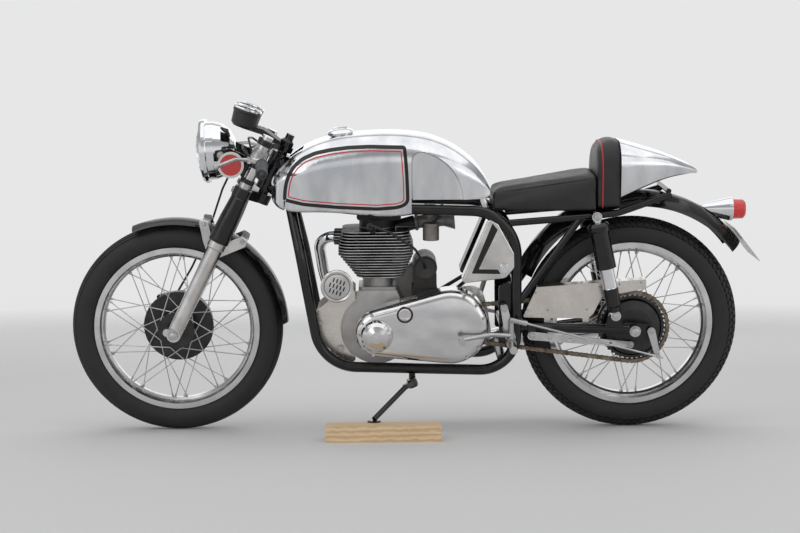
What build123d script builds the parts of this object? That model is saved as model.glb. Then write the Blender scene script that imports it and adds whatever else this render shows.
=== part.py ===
from build123d import *
import math
import os

# A single-cylinder cafe racer motorcycle, leaning on its side stand, which rests on a timber block.
# Millimetres. The bike is drawn upright: X to the rear, Y to its right side, Z up from the ground,
# with X zero midway between the axles. Everything leans together at the end.

# Driving dimensions
WHEELBASE = 1410.0
LEAN = 9.5
BASE_X = -29.0
BASE_Y = 140.0
FRONT_TYRE_R = 328.0
FRONT_TYRE_HALF = 41.0
REAR_TYRE_R = 335.0
REAR_TYRE_HALF = 46.0
FLANGE_R = 256.5
SPOKE_BED_R = 226.0
SPOKE_R = 1.6
SPOKES_PER_SIDE = 20
RAKE = 26.5
FORK_OFFSET = 57.0
FORK_HALF = 95.0
LEG_TOP = 676.0
FRAME_HALF = 110.0
TUBE_R = 16.0
CRANK_X, CRANK_Z = -83.0, 334.0
CLUTCH_X, CLUTCH_Z = 137.0, 352.0
SWING_X, SWING_Z = 315.0, 345.0
CHAIN_PITCH = 15.875
REAR_TEETH = 43
GEARBOX_TEETH = 19
CHAIN_LINE = -72.0
BLOCK = (340.0, 100.0, 47.5)
BLOCK_X, BLOCK_Y = -64.0, -322.0
STAND_PIVOT = (24.0, -132.0, 176.0)
STAND_FOOT = (-93.0, -262.0)
STAND_AXIS = (-0.354, 0.096, 0.93)
RUNNING_GAP = 0.4

FRONT_AXLE = Vector(-WHEELBASE / 2, 0, FRONT_TYRE_R)
REAR_AXLE = Vector(WHEELBASE / 2, 0, REAR_TYRE_R)
ALONG_LEG = Vector(math.sin(math.radians(RAKE)), 0, math.cos(math.radians(RAKE)))
BEHIND_LEG = Vector(math.cos(math.radians(RAKE)), 0, -math.sin(math.radians(RAKE)))
ALONG_Y = Vector(0, 1, 0)
ALONG_X = Vector(1, 0, 0)

nodes = {}


def keep(name, *shapes):
    """Add the solids of some shapes to a named piece."""
    for shape in shapes:
        nodes.setdefault(name, []).extend(shape.solids())


def mirrored(shape):
    """The same shape on the other side of the bike."""
    return mirror(shape, about=Plane.XZ)


def rod(start, end, radius):
    """A round bar between two points."""
    start, end = Vector(*start), Vector(*end)
    axis = Plane(origin=start, z_dir=end - start)
    stand_on = (Align.CENTER, Align.CENTER, Align.MIN)
    return axis * Cylinder(radius, (end - start).length, align=stand_on)


def tube(points, radius, bends):
    """A round tube along straight runs that are joined by arcs."""
    path = FilletPolyline(*points, radius=bends)
    start = Plane(origin=path @ 0, z_dir=path % 0)
    return sweep(start * Circle(radius), path=path)


def outline(points, corners=0.0):
    """A closed face from points of x and z, with one corner radius or one for each point."""
    if corners:
        return make_face(FilletPolyline(*points, radius=corners, close=True))
    return make_face(Polyline(*points, close=True))


def across(face, low, high):
    """A face of x and z, made solid from y = low to y = high."""
    return extrude(Plane((0, high, 0), x_dir=(1, 0, 0), z_dir=(0, -1, 0)) * face, amount=high - low)


def turned(profile, at, towards):
    """A closed profile of radius and height, turned about an axis through a point."""
    solid = revolve(Plane.XZ * make_face(Polyline(*profile, close=True)), axis=Axis.Z)
    return Plane(origin=at, z_dir=towards) * solid


def disc(at, towards, outer, thickness, inner=0.0):
    """A flat round plate, with a hole if inner is given."""
    return turned([(inner, 0), (outer, 0), (outer, thickness), (inner, thickness)], at, towards)


def capsule(x1, z1, r1, x2, z2, r2):
    """The outline of a belt round two circles, in x and z."""
    first = Pos(x1, z1) * Circle(r1)
    second = Pos(x2, z2) * Circle(r2)
    return make_hull(first.edges() + second.edges())


def leg_point(along, side=0.0, behind=0.0):
    """A point measured up the fork from the front axle, out to a side and back from the legs."""
    return FRONT_AXLE + ALONG_LEG * along + BEHIND_LEG * behind + ALONG_Y * side


def wheel_plane(axle):
    """Local height runs along the axle, towards the right side."""
    return dict(at=axle, towards=ALONG_Y)


# Wheels

def tyre(axle, radius, half):
    """A tyre's carcass: a round crown, side walls and beads that sit in the rim."""
    centre = radius - half
    inner = half - 8
    seat, lip, bead = 244.6, 258.0, 27.6
    side_x, side_y = centre - 0.62 * half, 0.785 * half
    hollow_x, hollow_y = centre - 0.75 * inner, 0.661 * inner
    wall = Line((seat, -bead), (lip, -bead))
    shoulder = Line((lip, -bead), (side_x, -side_y))
    crown = ThreePointArc((side_x, -side_y), (radius, 0), (side_x, side_y))
    shoulder_right = Line((side_x, side_y), (lip, bead))
    wall_right = Line((lip, bead), (seat, bead))
    foot_right = Line((seat, bead), (seat, 17))
    inside_right = Line((seat, 17), (hollow_x, hollow_y))
    inside = ThreePointArc((hollow_x, hollow_y), (centre + inner, 0), (hollow_x, -hollow_y))
    inside_left = Line((hollow_x, -hollow_y), (seat, -17))
    foot = Line((seat, -17), (seat, -bead))
    loop = [wall, shoulder, crown, shoulder_right, wall_right, foot_right, inside_right, inside]
    face = make_face(loop + [inside_left, foot])
    solid = revolve(Plane.XZ * face, axis=Axis.Z)
    return Plane(origin=axle, z_dir=ALONG_Y) * solid


def rim(axle, width):
    """A polished alloy rim with tall flanges and a well for the spoke nipples."""
    half = width / 2
    outer = [(FLANGE_R, -half), (FLANGE_R, -half + 2.6), (244, -half + 2.6), (242, -15), (231, -9)]
    inner = [(240, -half), (235, -half + 8), (SPOKE_BED_R + 6, -15), (SPOKE_BED_R, -9)]
    right_outer = [(r, -y) for r, y in reversed(outer)]
    right_inner = [(r, -y) for r, y in inner]
    return turned(outer + right_outer + right_inner + list(reversed(inner)), **wheel_plane(axle))


def spoke_set(axle, hub_r, hub_y, rim_side, cross, first):
    """One flange's spokes: every other one leads and the rest trail, in two planes that clear."""
    spokes = []
    step = 360.0 / SPOKES_PER_SIDE
    for index in range(SPOKES_PER_SIDE):
        lean = 1 if index % 2 else -1
        offset = lean * 2.1
        hub_angle = math.radians(first + index * step)
        rim_angle = hub_angle + math.radians(lean * cross)
        near = (hub_r * math.cos(hub_angle), hub_r * math.sin(hub_angle))
        far = (SPOKE_BED_R * math.cos(rim_angle), SPOKE_BED_R * math.sin(rim_angle))
        start = axle + Vector(near[0], hub_y + offset, near[1])
        end = axle + Vector(far[0], rim_side + offset, far[1])
        reach = (end - start).normalized()
        spokes.append(rod(start, end + reach * 2, SPOKE_R))
    return spokes


def trimmed(pieces, *others):
    """Pieces cut back to the faces that they meet."""
    for other in others:
        pieces = [piece - other for piece in pieces]
    return pieces


front_tyre = tyre(FRONT_AXLE, FRONT_TYRE_R, FRONT_TYRE_HALF)
front_rim = rim(FRONT_AXLE, 62.0)
rear_tyre = tyre(REAR_AXLE, REAR_TYRE_R, REAR_TYRE_HALF)
rear_rim = rim(REAR_AXLE, 62.0)

AXLE_R = 9.6
BORE_R = AXLE_R + RUNNING_GAP
# Radius and distance along the axle, from the small left flange to the open edge of the drum.
front_hub_profile = [
    (BORE_R, -62), (19, -62), (19, -54), (57, -52), (57, -44), (31, -40), (30, 8), (104, 12),
    (109, 12), (109, 20), (104, 22), (104, 58), (95, 58), (95, 20), (BORE_R, 20),
]
front_hub = turned(front_hub_profile, **wheel_plane(FRONT_AXLE))
keep("front_tyre", front_tyre)
keep("front_rim", front_rim)
keep("front_hub", front_hub)
left_spokes = spoke_set(FRONT_AXLE, 56, -48, -4.5, 62, 4)
right_spokes = spoke_set(FRONT_AXLE, 108, 16, 4.5, 28, 13)
keep("front_spokes", *trimmed(left_spokes + right_spokes, front_hub, front_rim))

# The rear drum carries the sprocket on its left edge.
rear_hub_profile = [
    (BORE_R, -30), (90, -30), (90, -70), (98, -70), (98, -31), (103, -29), (103, -20), (96, -18),
    (34, -10), (32, 43), (52, 45), (52, 53), (20, 57), (20, 70), (BORE_R, 70),
]
rear_hub = turned(rear_hub_profile, **wheel_plane(REAR_AXLE))
keep("rear_tyre", rear_tyre)
keep("rear_rim", rear_rim)
left_spokes = spoke_set(REAR_AXLE, 102, -24.5, -4.5, 28, 4)
right_spokes = spoke_set(REAR_AXLE, 51, 49, 4.5, 60, 13)
keep("rear_spokes", *trimmed(left_spokes + right_spokes, rear_hub, rear_rim))

SPROCKET_HALF = 3.0
rear_pitch_r = CHAIN_PITCH / (2 * math.sin(math.pi / REAR_TEETH))
gear_pitch_r = CHAIN_PITCH / (2 * math.sin(math.pi / GEARBOX_TEETH))
ROLLER_R = 5.08


def sprocket(axle, teeth, pitch_r, inner):
    """A toothed ring whose teeth end just under the chain's rollers."""
    tip_r = pitch_r - ROLLER_R - 0.5
    root_r = tip_r - 5
    points = []
    for tooth in range(teeth):
        for share, radius in ((0.0, root_r), (0.30, root_r), (0.45, tip_r), (0.55, tip_r)):
            angle = 2 * math.pi * (tooth + share + 0.25) / teeth
            points.append((radius * math.cos(angle), radius * math.sin(angle)))
    face = outline(points) - Circle(inner)
    ring = across(face, CHAIN_LINE - SPROCKET_HALF, CHAIN_LINE + SPROCKET_HALF)
    return Pos(axle.X, 0, axle.Z) * ring


keep("rear_hub", rear_hub + sprocket(REAR_AXLE, REAR_TEETH, rear_pitch_r, 90.5))

# Chain: one fixed loop, its links as waists in both edges, with a groove for the teeth
GEAR_AXLE = Vector(CLUTCH_X, 0, CLUTCH_Z)


def chain_loop(reach):
    """The belt round both sprockets, a reach outside or inside the pitch line."""
    return capsule(GEAR_AXLE.X, GEAR_AXLE.Z, gear_pitch_r + reach, REAR_AXLE.X, REAR_AXLE.Z,
                   rear_pitch_r + reach)


PLATE_REACH = 7.3
chain_ring = chain_loop(PLATE_REACH) - chain_loop(-PLATE_REACH)
groove = chain_loop(-ROLLER_R) - chain_loop(-PLATE_REACH - 2)
drive_chain = across(chain_ring, CHAIN_LINE - 7.5, CHAIN_LINE + 7.5)
drive_chain -= across(groove, CHAIN_LINE - 4, CHAIN_LINE + 4)
keep("drive_chain", drive_chain)
gear_sprocket = sprocket(GEAR_AXLE, GEARBOX_TEETH, gear_pitch_r, 11.0)

# Steering: fork legs with the axle and the mudguard lugs, yokes, bars and lamp
fork = rod((-705, -124, 328), (-705, 124, 328), AXLE_R)
LUG_OUTLINE = [(-624, 676), (-596, 672), (-586, 622), (-560, 598), (-496, 624), (-478, 612),
               (-484, 592), (-548, 566), (-572, 556), (-598, 566), (-612, 610)]
for side in (-1, 1):
    y = side * FORK_HALF
    # Radius and height up the leg: axle clamp, slider and collar, then the bare stanchion.
    leg_profile = [
        (0, -16), (20, -16), (23, -6), (24, 40), (24, 296), (28, 300), (28, 320), (17.5, 320),
        (17.5, LEG_TOP), (0, LEG_TOP),
    ]
    shroud_profile = [(17.5, 320.3), (31, 320.3), (31.5, 330), (30, 400), (25.5, 468), (17.5, 468)]
    keep("fork_shrouds", turned(shroud_profile, leg_point(0, y), ALONG_LEG))
    leg = turned(leg_profile, leg_point(0, y), ALONG_LEG)
    leg += rod(leg_point(0, y - side * 26), leg_point(0, y + side * 26), 21)
    leg += rod(leg_point(-4, y - side * 14, -22), leg_point(-4, y + side * 14, -22), 12)
    guard_lug = across(outline(LUG_OUTLINE, 7), side * 63 - 4, side * 63 + 4)
    leg += guard_lug + rod((-577, side * 60, 590), (-577, side * 84, 590), 11)
    fork += leg
keep("fork_legs", fork)

STEM_R = 15.0
steering_foot = leg_point(0, 0, FORK_OFFSET)


def yoke(low, high, clamp_r, stem_r):
    """A fork yoke: two clamps round the legs, joined through a boss round the stem."""
    points = [(0, -FORK_HALF), (0, FORK_HALF), (FORK_OFFSET, 34), (FORK_OFFSET, -34)]
    bridge = make_face(FilletPolyline(*points, radius=8, close=True))
    sketch = bridge + Pos(FORK_OFFSET, 0) * Circle(stem_r)
    for side in (-1, 1):
        sketch += Pos(0, side * FORK_HALF) * Circle(clamp_r)
    base = Plane(origin=leg_point(low), x_dir=BEHIND_LEG, z_dir=ALONG_LEG)
    return extrude(base * sketch, amount=high - low)


stem = rod(steering_foot + ALONG_LEG * 480, steering_foot + ALONG_LEG * 645, STEM_R)
nut_profile = [(0, 664), (21, 664), (21, 676), (13, 684), (13, 700), (0, 700)]
lower_yoke = (yoke(470, 502, 27, 30) + stem) - fork
upper_yoke = (yoke(646, 664, 25, 26) + turned(nut_profile, steering_foot, ALONG_LEG)) - fork
keep("fork_yokes", lower_yoke, upper_yoke)

GRIP_ROOT = (-424.0, 96.0, 876.0)
GRIP_END = (-408.0, 338.0, 850.0)
LEVER_TIP = (-541.0, 300.0, 868.0)
for side in (-1, 1):
    root = Vector(GRIP_ROOT[0], side * GRIP_ROOT[1], GRIP_ROOT[2])
    end = Vector(GRIP_END[0], side * GRIP_END[1], GRIP_END[2])
    bar = (end - root).normalized()
    ring = turned([(17.5, 596), (26, 596), (26, 630), (17.5, 630)], leg_point(0, side * FORK_HALF),
                  ALONG_LEG)
    handle = rod(root + bar * 20, end, 11.1) + rod(end - bar * 124, end, 16)
    handle -= rod(end - bar * 60, end + bar, 8.0)
    perch = root + bar * 92
    blade_pivot = perch + Vector(-34, 0, 8)
    tip = Vector(LEVER_TIP[0], side * LEVER_TIP[1], LEVER_TIP[2])
    knee = blade_pivot + Vector(-42, side * 34, 6)
    lever = tube([blade_pivot, knee, tip], 5.5, 30) + Pos(*tip) * Sphere(8.5)
    lever += rod(perch, blade_pivot, 9)
    lever += rod(blade_pivot - Vector(0, 0, 10), blade_pivot + Vector(0, 0, 10), 9)
    lever += rod(perch - bar * 14, perch + bar * 14, 15)
    keep("clip_ons", (ring + handle + lever) - fork)

# Headlamp: chrome shell on two ears, glass in front
lamp_axis = Vector(-0.9976, 0, -0.07)
LAMP_BACK = Vector(-510, 0, 886)
# Radius and distance forward from the back of the shell.
lamp_profile = [
    (0, 0), (34, 3), (62, 16), (80, 38), (88, 62), (89, 84), (97, 86), (98, 96), (93, 104),
    (84, 104), (84, 96), (78, 66), (56, 30), (30, 12), (0, 8),
]
headlamp = turned(lamp_profile, LAMP_BACK, lamp_axis)
lens_profile = [(0, 99), (83.7, 99), (83.7, 103), (60, 114), (30, 121), (0, 123)]
keep("headlamp_shell", headlamp)
keep("headlamp_glass", turned(lens_profile, LAMP_BACK, lamp_axis))
EAR_OUTLINE = [(-562, 892), (-562, 864), (-500, 838), (-480, 792), (-458, 790), (-440, 848),
               (-452, 866), (-520, 898)]
for side in (-1, 1):
    ear = across(outline(EAR_OUTLINE, 7), side * 94 - 2, side * 94 + 2)
    ear += rod((-548, side * 84, 879), (-548, side * 101, 879), 12)
    for low in (520, 572):
        ear += turned([(17.5, low), (22, low), (22, low + 14), (17.5, low + 14)],
                      leg_point(0, side * FORK_HALF), ALONG_LEG)
    keep("lamp_ears", (ear - fork) - headlamp)
# A round disc holder stands out from the left ear.
disc_holder = disc((-515, -128, 853), (0, -1, 0), 38, 9)
keep("disc_holder", disc_holder + rod((-515, -96, 853), (-515, -128, 853), 5))

# Instruments: two round clocks on a bracket above the upper yoke
clock_axis = Vector(0.316, 0, 0.949)
clock_profile = [(0, 0), (30, 0), (38, 8), (41, 44), (43, 46), (43, 56), (37, 56), (37, 53), (0, 53)]
bracket_outline = [(-490, 953), (-428, 932), (-400, 914), (-376, 900), (-369, 908), (-394, 926),
                   (-424, 948), (-488, 967)]
clocks = across(outline(bracket_outline, 3), -34, 34)
for side in (-1, 1):
    clocks += turned(clock_profile, (-485, side * 48, 958), clock_axis)
keep("clocks", clocks - upper_yoke - fork)

# Front mudguard: a blade that follows the tyre, under two hoops that join the lugs


def mudguard(centre_x, centre_z, crown_r, lip_r, half, start, end, thickness):
    """A curved blade swept round a wheel, between two angles counted up from the rear."""
    outer = ThreePointArc((lip_r, -half), (crown_r, 0), (lip_r, half))
    inner = ThreePointArc((lip_r, half - thickness), (crown_r - thickness, 0),
                          (lip_r, thickness - half))
    face = make_face([outer, Line((lip_r, half), (lip_r, half - thickness)), inner,
                      Line((lip_r, thickness - half), (lip_r, -half))])
    return part_turn(face, centre_x, centre_z, start, end)


def part_turn(face, centre_x, centre_z, start, end):
    """A section of radius and width, swept about a wheel's axis between two angles."""
    blade = revolve(Plane.XZ * face, axis=Axis.Z, revolution_arc=end - start)
    plane = Plane(origin=(centre_x, 0, centre_z),
                  x_dir=(math.cos(math.radians(end)), 0, math.sin(math.radians(end))),
                  z_dir=(0, 1, 0))
    return plane * blade


front_guard = mudguard(FRONT_AXLE.X, FRONT_AXLE.Z, 347, 332, 54, 3, 112, 2.2)
for bolt_angle in (73.9, 52.6):
    hoop = Pos(348.5, 0) * Rectangle(5, 2 * 59)
    front_guard += part_turn(hoop, FRONT_AXLE.X, FRONT_AXLE.Z, bolt_angle - 2, bolt_angle + 2)
keep("front_mudguard", front_guard)

brake_profile = [(BORE_R - 0.4, 0), (103, 0), (103, 5), (92, 9), (40, 14), (BORE_R - 0.4, 14)]
front_plate = turned(brake_profile, (-705, 63, 328), ALONG_Y)
front_plate += across(outline([(-770, 388), (-716, 410), (-716, 428), (-782, 414)], 6), 66, 84)
keep("front_brake_plate", front_plate - fork)

# Cables: the front brake's runs down beside the right leg, the others go in above the lower yoke.
# Each row is a point of x, y and z on a cable's route, from its lever to its other end.
CABLE_R = 3.4
brake_route = [(-452, 187, 874), (-512, 184, 862), (-572, 160, 740), (-616, 132, 610),
               (-672, 126, 494), (-714, 96, 424)]
brake_cable = tube(brake_route, CABLE_R, [40, 90, 90, 90])
keep("brake_cable", (brake_cable - front_plate) - nodes["clip_ons"][1])
for side, bars in ((-1, nodes["clip_ons"][0]), (1, nodes["clip_ons"][1])):
    yoke_route = [(-450, side * 187, 880), (-474, side * 164, 902), (-482, side * 108, 908),
                  (-470, side * 58, 880), (-464, side * 42, 771)]
    keep("control_cables", (tube(yoke_route, CABLE_R, [24, 28, 36]) - lower_yoke) - bars)

# Frame: headstock and two loops of tube, which cross beside it
HEAD_LOW, HEAD_HIGH = 512, 636
headstock = turned([(STEM_R + 2.5, HEAD_LOW), (30, HEAD_LOW), (30, HEAD_HIGH),
                    (STEM_R + 2.5, HEAD_HIGH)], steering_foot, ALONG_LEG)
head_room = turned([(0, HEAD_LOW), (30, HEAD_LOW), (30, HEAD_HIGH), (0, HEAD_HIGH)],
                   steering_foot, ALONG_LEG)
# x, y and z of the left loop's corners, from the bottom of the headstock round to its top
loop_corners = [
    (-404, -20, 766), (-352, -98, 744), (-276, -110, 722), (342, -110, 702), (344, -110, 208),
    (-253, -110, 226), (-312, -109, 566), (-372, -26, 852),
]
loop_bends = [34, 60, 140, 110, 130, 160]
left_loop = tube(loop_corners, TUBE_R, loop_bends) - head_room
right_loop = mirrored(left_loop)
keep("headstock", headstock)

# The stand's lug is a fork of two plates round its hinge pin, welded to the left loop.
pivot = Vector(*STAND_PIVOT)
hinge = Vector(*STAND_AXIS).normalized()
lug_plane = Plane(origin=pivot, x_dir=Vector(0, 1, 0) - hinge * hinge.Y, z_dir=hinge)
lug_face = make_hull((Circle(13)).edges() + (Pos(22, 0) * Rectangle(16, 30)).edges())
stand_lug = extrude(lug_plane * lug_face, amount=13, both=True)
stand_lug -= extrude(lug_plane * Circle(17), amount=8, both=True)
stand_lug += extrude(lug_plane * Circle(5), amount=8.5, both=True)
lug_post = rod((24, -104, 217), (24, -104, 180), 10)
keep("left_frame_loop", left_loop + lug_post + stand_lug)
keep("right_frame_loop", right_loop)
# x, z and radius of the tubes that join the two loops
cross_tubes = [(250, 705, 12), (300, 246, 14), (-220, 247, 12), (344, 470, 12)]
for x, z, radius in cross_tubes:
    keep("cross_tubes", rod((x, -FRAME_HALF, z), (x, FRAME_HALF, z), radius) - left_loop - right_loop)

gusset_outline = outline([(292, 300), (326, 292), (342, 470), (318, 486), (290, 470)], 8)
pivot_pin = rod((SWING_X, -118, SWING_Z), (SWING_X, 118, SWING_Z), AXLE_R)
gussets = pivot_pin
for side in (-1, 1):
    gussets += across(gusset_outline, side * 98 - 3, side * 98 + 3)
keep("swing_pivot", ((gussets - left_loop) - right_loop) - nodes["cross_tubes"][3])

# Rear subframe: two rails under the seat, each with a strut down to the main frame
for side in (-1, 1):
    y = side * 108
    rail = tube([(322, y, 668), (560, y, 686), (650, side * 102, 696), (812, side * 82, 748)], 10.5,
                [120, 120])
    strut = rod((352, y, 424), (538, y, 686), 10.5)
    top_boss = rod((579, y, 692), (579, side * 126, 692), 11)
    loop = left_loop if side < 0 else right_loop
    keep("subframe_rails", (rail + strut + top_boss) - loop)
rear_bridge = rod((805, -84, 759), (805, 84, 759), 8)
subframe = nodes["subframe_rails"]
nodes["subframe_rails"] = (subframe[0] + rear_bridge + subframe[1]).solids()

# Swinging arm, with its axle and the posts of the shock absorbers
swing = rod((SWING_X, -91, SWING_Z), (SWING_X, 91, SWING_Z), 21)
for side in (-1, 1):
    swing += tube([(SWING_X, side * 70, SWING_Z), (384, side * 76, 345), (452, side * 114, 343),
                   (690, side * 114, 337)], 15, [60, 60])
    swing += across(outline([(668, 316), (752, 322), (756, 352), (668, 360)], 12),
                    side * 114 - 5, side * 114 + 5)
    swing += across(outline([(612, 340), (672, 340), (656, 398), (630, 398)], 8), side * 120 - 6,
                    side * 120 + 6)
    swing += rod((705, side * 119, 335), (705, side * 136, 335), 16)
swing += across(outline([(378, 350), (406, 350), (402, 304), (384, 304)], 6), -101, -84)
swing += rod((705, -128, 335), (705, 128, 335), AXLE_R)
keep("swinging_arm", swing - rod((SWING_X, -92, SWING_Z), (SWING_X, 92, SWING_Z), AXLE_R))

# Rear shock absorbers
SHOCK_TOP, SHOCK_FOOT = Vector(579, 0, 692), Vector(642, 0, 388)
shock_axis = (SHOCK_TOP - SHOCK_FOOT).normalized()
# Radius and height above the lower eye
shock_profile = [
    (0, 12), (16, 12), (16, 26), (22, 32), (23.5, 86), (22.5, 88), (22.5, 150), (30, 150), (27.5, 264),
    (32, 270), (32, 282), (24, 290), (0, 290),
]
for side in (-1, 1):
    out = ALONG_Y * (side * 144)
    shock = turned(shock_profile, SHOCK_FOOT + out, shock_axis)
    for eye in (SHOCK_TOP, SHOCK_FOOT):
        shock += rod(eye + out - ALONG_Y * side * 18, eye + out + ALONG_Y * side * 14, 15)
    shock += rod(SHOCK_TOP + out - shock_axis * 26, SHOCK_TOP + out, 11)
    keep("shock_absorbers", shock - swing)

# Rear brake: plate and lever arm, and the drilled torque arm, on the left
rear_plate = turned([(AXLE_R, -90), (60, -90), (84, -84), (86, -76), (AXLE_R, -76)],
                    **wheel_plane(REAR_AXLE))
rear_plate += disc((705, -99, 335), ALONG_Y, 18, 9, AXLE_R)
rear_plate += rod((755, -132, 334), (755, -84, 334), 7)
rear_plate += across(capsule(755, 334, 12, 776, 258, 8), -134, -128)
rear_plate += rod((696, -104, 286), (696, -84, 286), 6)
keep("rear_brake_plate", rear_plate - swing)
torque_face = capsule(392, 316, 13, 696, 286, 9)
for x, z in [(448, 309), (510, 303), (572, 296), (634, 290)]:
    torque_face -= Pos(x, z) * Circle(5)
torque_arm = across(torque_face, -107, -102) + rod((392, -110, 316), (392, -101, 316), 6)
keep("torque_arm", torque_arm - rear_plate)

guard_outline = outline([
    (364, 374), (406, 468), (740, 490), (741, 462), (648, 444), (606, 436), (580, 384), (566, 371),
    (566, 352), (548, 352), (548, 370), (448, 371), (448, 352), (430, 352), (430, 372),
], 4)
guard = across(guard_outline, -103.5, -101.5)
guard += across(outline([(406, 465.5), (740, 487.5), (740, 490), (406, 468)]), -103.5, -60)
keep("chain_guard", guard - swing)

# Engine
case_neck = make_face(Polyline((-138, 300), (-138, 452), (-22, 452), (10, 380), (10, 300), close=True))
crankcase = across(case_neck + Pos(CRANK_X, CRANK_Z) * Circle(112), -62, 62)
timing_face = make_hull((Pos(CRANK_X, CRANK_Z) * Circle(72)).edges()
                        + (Pos(-20, 440) * Circle(34)).edges()
                        + (Pos(64, 500) * Circle(36)).edges())
timing = across(timing_face, 62, 98)
crankcase += fillet(timing.edges().group_by(Axis.Y)[-1], 9)
keep("crankcase", crankcase)

CYLINDER_X = -80.0
FIN_PITCH = 8.8
FIN_THICK = 2.8
FIRST_FIN = 494.0
BARREL_FINS = 11
HEAD_FINS = 6
HEAD_Z = FIRST_FIN + BARREL_FINS * FIN_PITCH


def column(sketch, low, high):
    """A sketch of x and y about the cylinder's axis, made solid between two heights."""
    return extrude(Plane.XY.offset(low) * Pos(CYLINDER_X, 0) * sketch, amount=high - low)


def fin(z, front, rear, half, corner):
    """One cooling fin, a thin plate with rounded corners."""
    sketch = Pos((rear - front) / 2, 0) * RectangleRounded(front + rear, 2 * half, corner)
    return column(sketch, z, z + FIN_THICK)


barrel = column(Circle(47), 452, HEAD_Z - 5) + column(RectangleRounded(118, 112, 12), 452, 462)
barrel += column(Pos(8, 82) * Circle(15), 462, HEAD_Z - 5)
for index in range(BARREL_FINS):
    share = min(1.0, index / 8)
    barrel += fin(FIRST_FIN + index * FIN_PITCH, 66 + 54 * share, 80 + 30 * share, 72 + 22 * share, 40)
keep("cylinder_barrel", barrel - crankcase)
head = column(Circle(56), HEAD_Z - 5, 670) + column(Pos(8, 82) * Circle(15), HEAD_Z - 5, 690)
for index in range(HEAD_FINS):
    head += fin(HEAD_Z + index * FIN_PITCH, 119 - 2 * index, 110 - 3 * index, 93 - 2 * index, 38)
head += rod((-150, 22, 606), (-212, 34, 606), 26) + rod((-20, 0, 640), (36, -6, 656), 22)
head += across(outline([(-146, 669), (-4, 669), (-14, 708), (-136, 708)], 10), -48, 92)
keep("cylinder_head", head - barrel)

primary = across(capsule(-74, 337, 75, CLUTCH_X + 4, CLUTCH_Z + 4, 115), -166, -92)
primary = fillet(primary.edges().group_by(Axis.Y)[0], 24)
dome_profile = [(0, 0), (50, 0), (49, 10), (44, 20), (34, 29), (18, 35), (0, 37)]
primary += turned(dome_profile, (CRANK_X, -162, CRANK_Z), (0, -1, 0))
primary += disc((2, -160, 399), (0, -1, 0), 25, 10)
inner_case = across(capsule(-74, 337, 70, CLUTCH_X, CLUTCH_Z, 106), -92, -62)
sprocket_room = across(Pos(CLUTCH_X, CLUTCH_Z) * Circle(200), -82, -50)
primary += inner_case - sprocket_room
keep("primary_cover", primary)

gearbox_face = make_hull((Pos(CLUTCH_X, CLUTCH_Z) * Circle(72)).edges()
                         + (Pos(214, 392) * Circle(44)).edges()
                         + (Pos(226, 316) * Circle(44)).edges())
gearbox = across(gearbox_face, -60, 96)
gearbox = fillet(gearbox.edges().group_by(Axis.Y)[-1], 12)
gearbox += gear_sprocket + rod((CLUTCH_X, -82, CLUTCH_Z), (CLUTCH_X, -60, CLUTCH_Z), 12)
kick_shaft = rod((222, 90, 318), (222, 128, 318), 9) + rod((222, 112, 318), (222, 128, 318), 16)
kick_arm = tube([(222, 120, 318), (262, 124, 452), (270, 142, 486)], 8, 40)
gearbox += kick_shaft + kick_arm + rod((270, 138, 486), (270, 226, 486), 11)
keep("gearbox", gearbox - crankcase)

magneto = rod((66, -58, 522), (66, 62, 522), 37) + rod((66, -74, 522), (66, -58, 522), 30)
magneto += across(outline([(30, 455), (102, 455), (102, 500), (30, 500)]), -44, 58)
magneto += across(outline([(26, 420), (104, 424), (104, 456), (26, 456)]), -40, 40)
keep("magneto", (magneto - crankcase) - gearbox)

carb_inlet, carb_mouth = Vector(36.5, -6, 656), Vector(126, -10, 664)
# Radius and distance along the body, which ends in a bell mouth
carb_profile = [(0, 0), (26, 0), (26, 8), (20, 12), (20, 88), (30, 114), (33, 122), (28, 122),
                (17, 96), (0, 96)]
carb = turned(carb_profile, carb_inlet, carb_mouth - carb_inlet)
carb += rod((82, -8, 625), (82, -8, 712), 17)
carb += rod((84, -62, 610), (84, -62, 662), 25) + rod((84, -8, 636), (84, -62, 636), 9)
keep("carburettor", carb - head)

# Engine plates ahead of the crankcase, with their bolts
front_plate_face = outline([(-286, 322), (-266, 392), (-196, 456), (-150, 456), (-150, 230),
                            (-186, 230)], 10)
engine_plates = rod((-262, -76, 352), (-262, 76, 352), 8)
for side in (-1, 1):
    engine_plates += across(front_plate_face, side * 68 - 3.5, side * 68 + 3.5)
for x, z in ((-196, 272), (-176, 438)):
    engine_plates += rod((x, -76, z), (x, 76, z), 8)
case_room = across(Pos(CRANK_X, CRANK_Z) * Circle(112), -80, 80)
keep("engine_plates", ((engine_plates - case_room) - crankcase) - nodes["cross_tubes"][2])

# Exhaust: from the port forward, down the right side and into a tapered silencer
exhaust_points = [
    (-213, 34, 606), (-266, 42, 604), (-252, 88, 490), (-220, 128, 350), (-190, 148, 240),
    (90, 152, 238), (252, 158, 246),
]
header = tube(exhaust_points, 18, [46, 110, 150, 60, 300])
keep("exhaust_header", header - head)
silencer_profile = [(0, 0), (20, 0), (24, 20), (42, 160), (46, 330), (44, 420), (26, 480), (18, 482),
                    (18, 440), (0, 440)]
silencer_axis = Vector(0.993, 0.06, 0.105)
keep("silencer", turned(silencer_profile, (252, 158, 246), silencer_axis) - header)

# Horn on the left of the crankcase mouth
horn = turned([(0, 0), (30, 0), (46, 14), (49, 20), (49, 30), (44, 34), (0, 34)], (-203, -98, 480),
              (0, -1, 0))
horn += rod((-203, -99, 480), (-196, -71.5, 446), 6)
keep("horn", horn - engine_plates)

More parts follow.
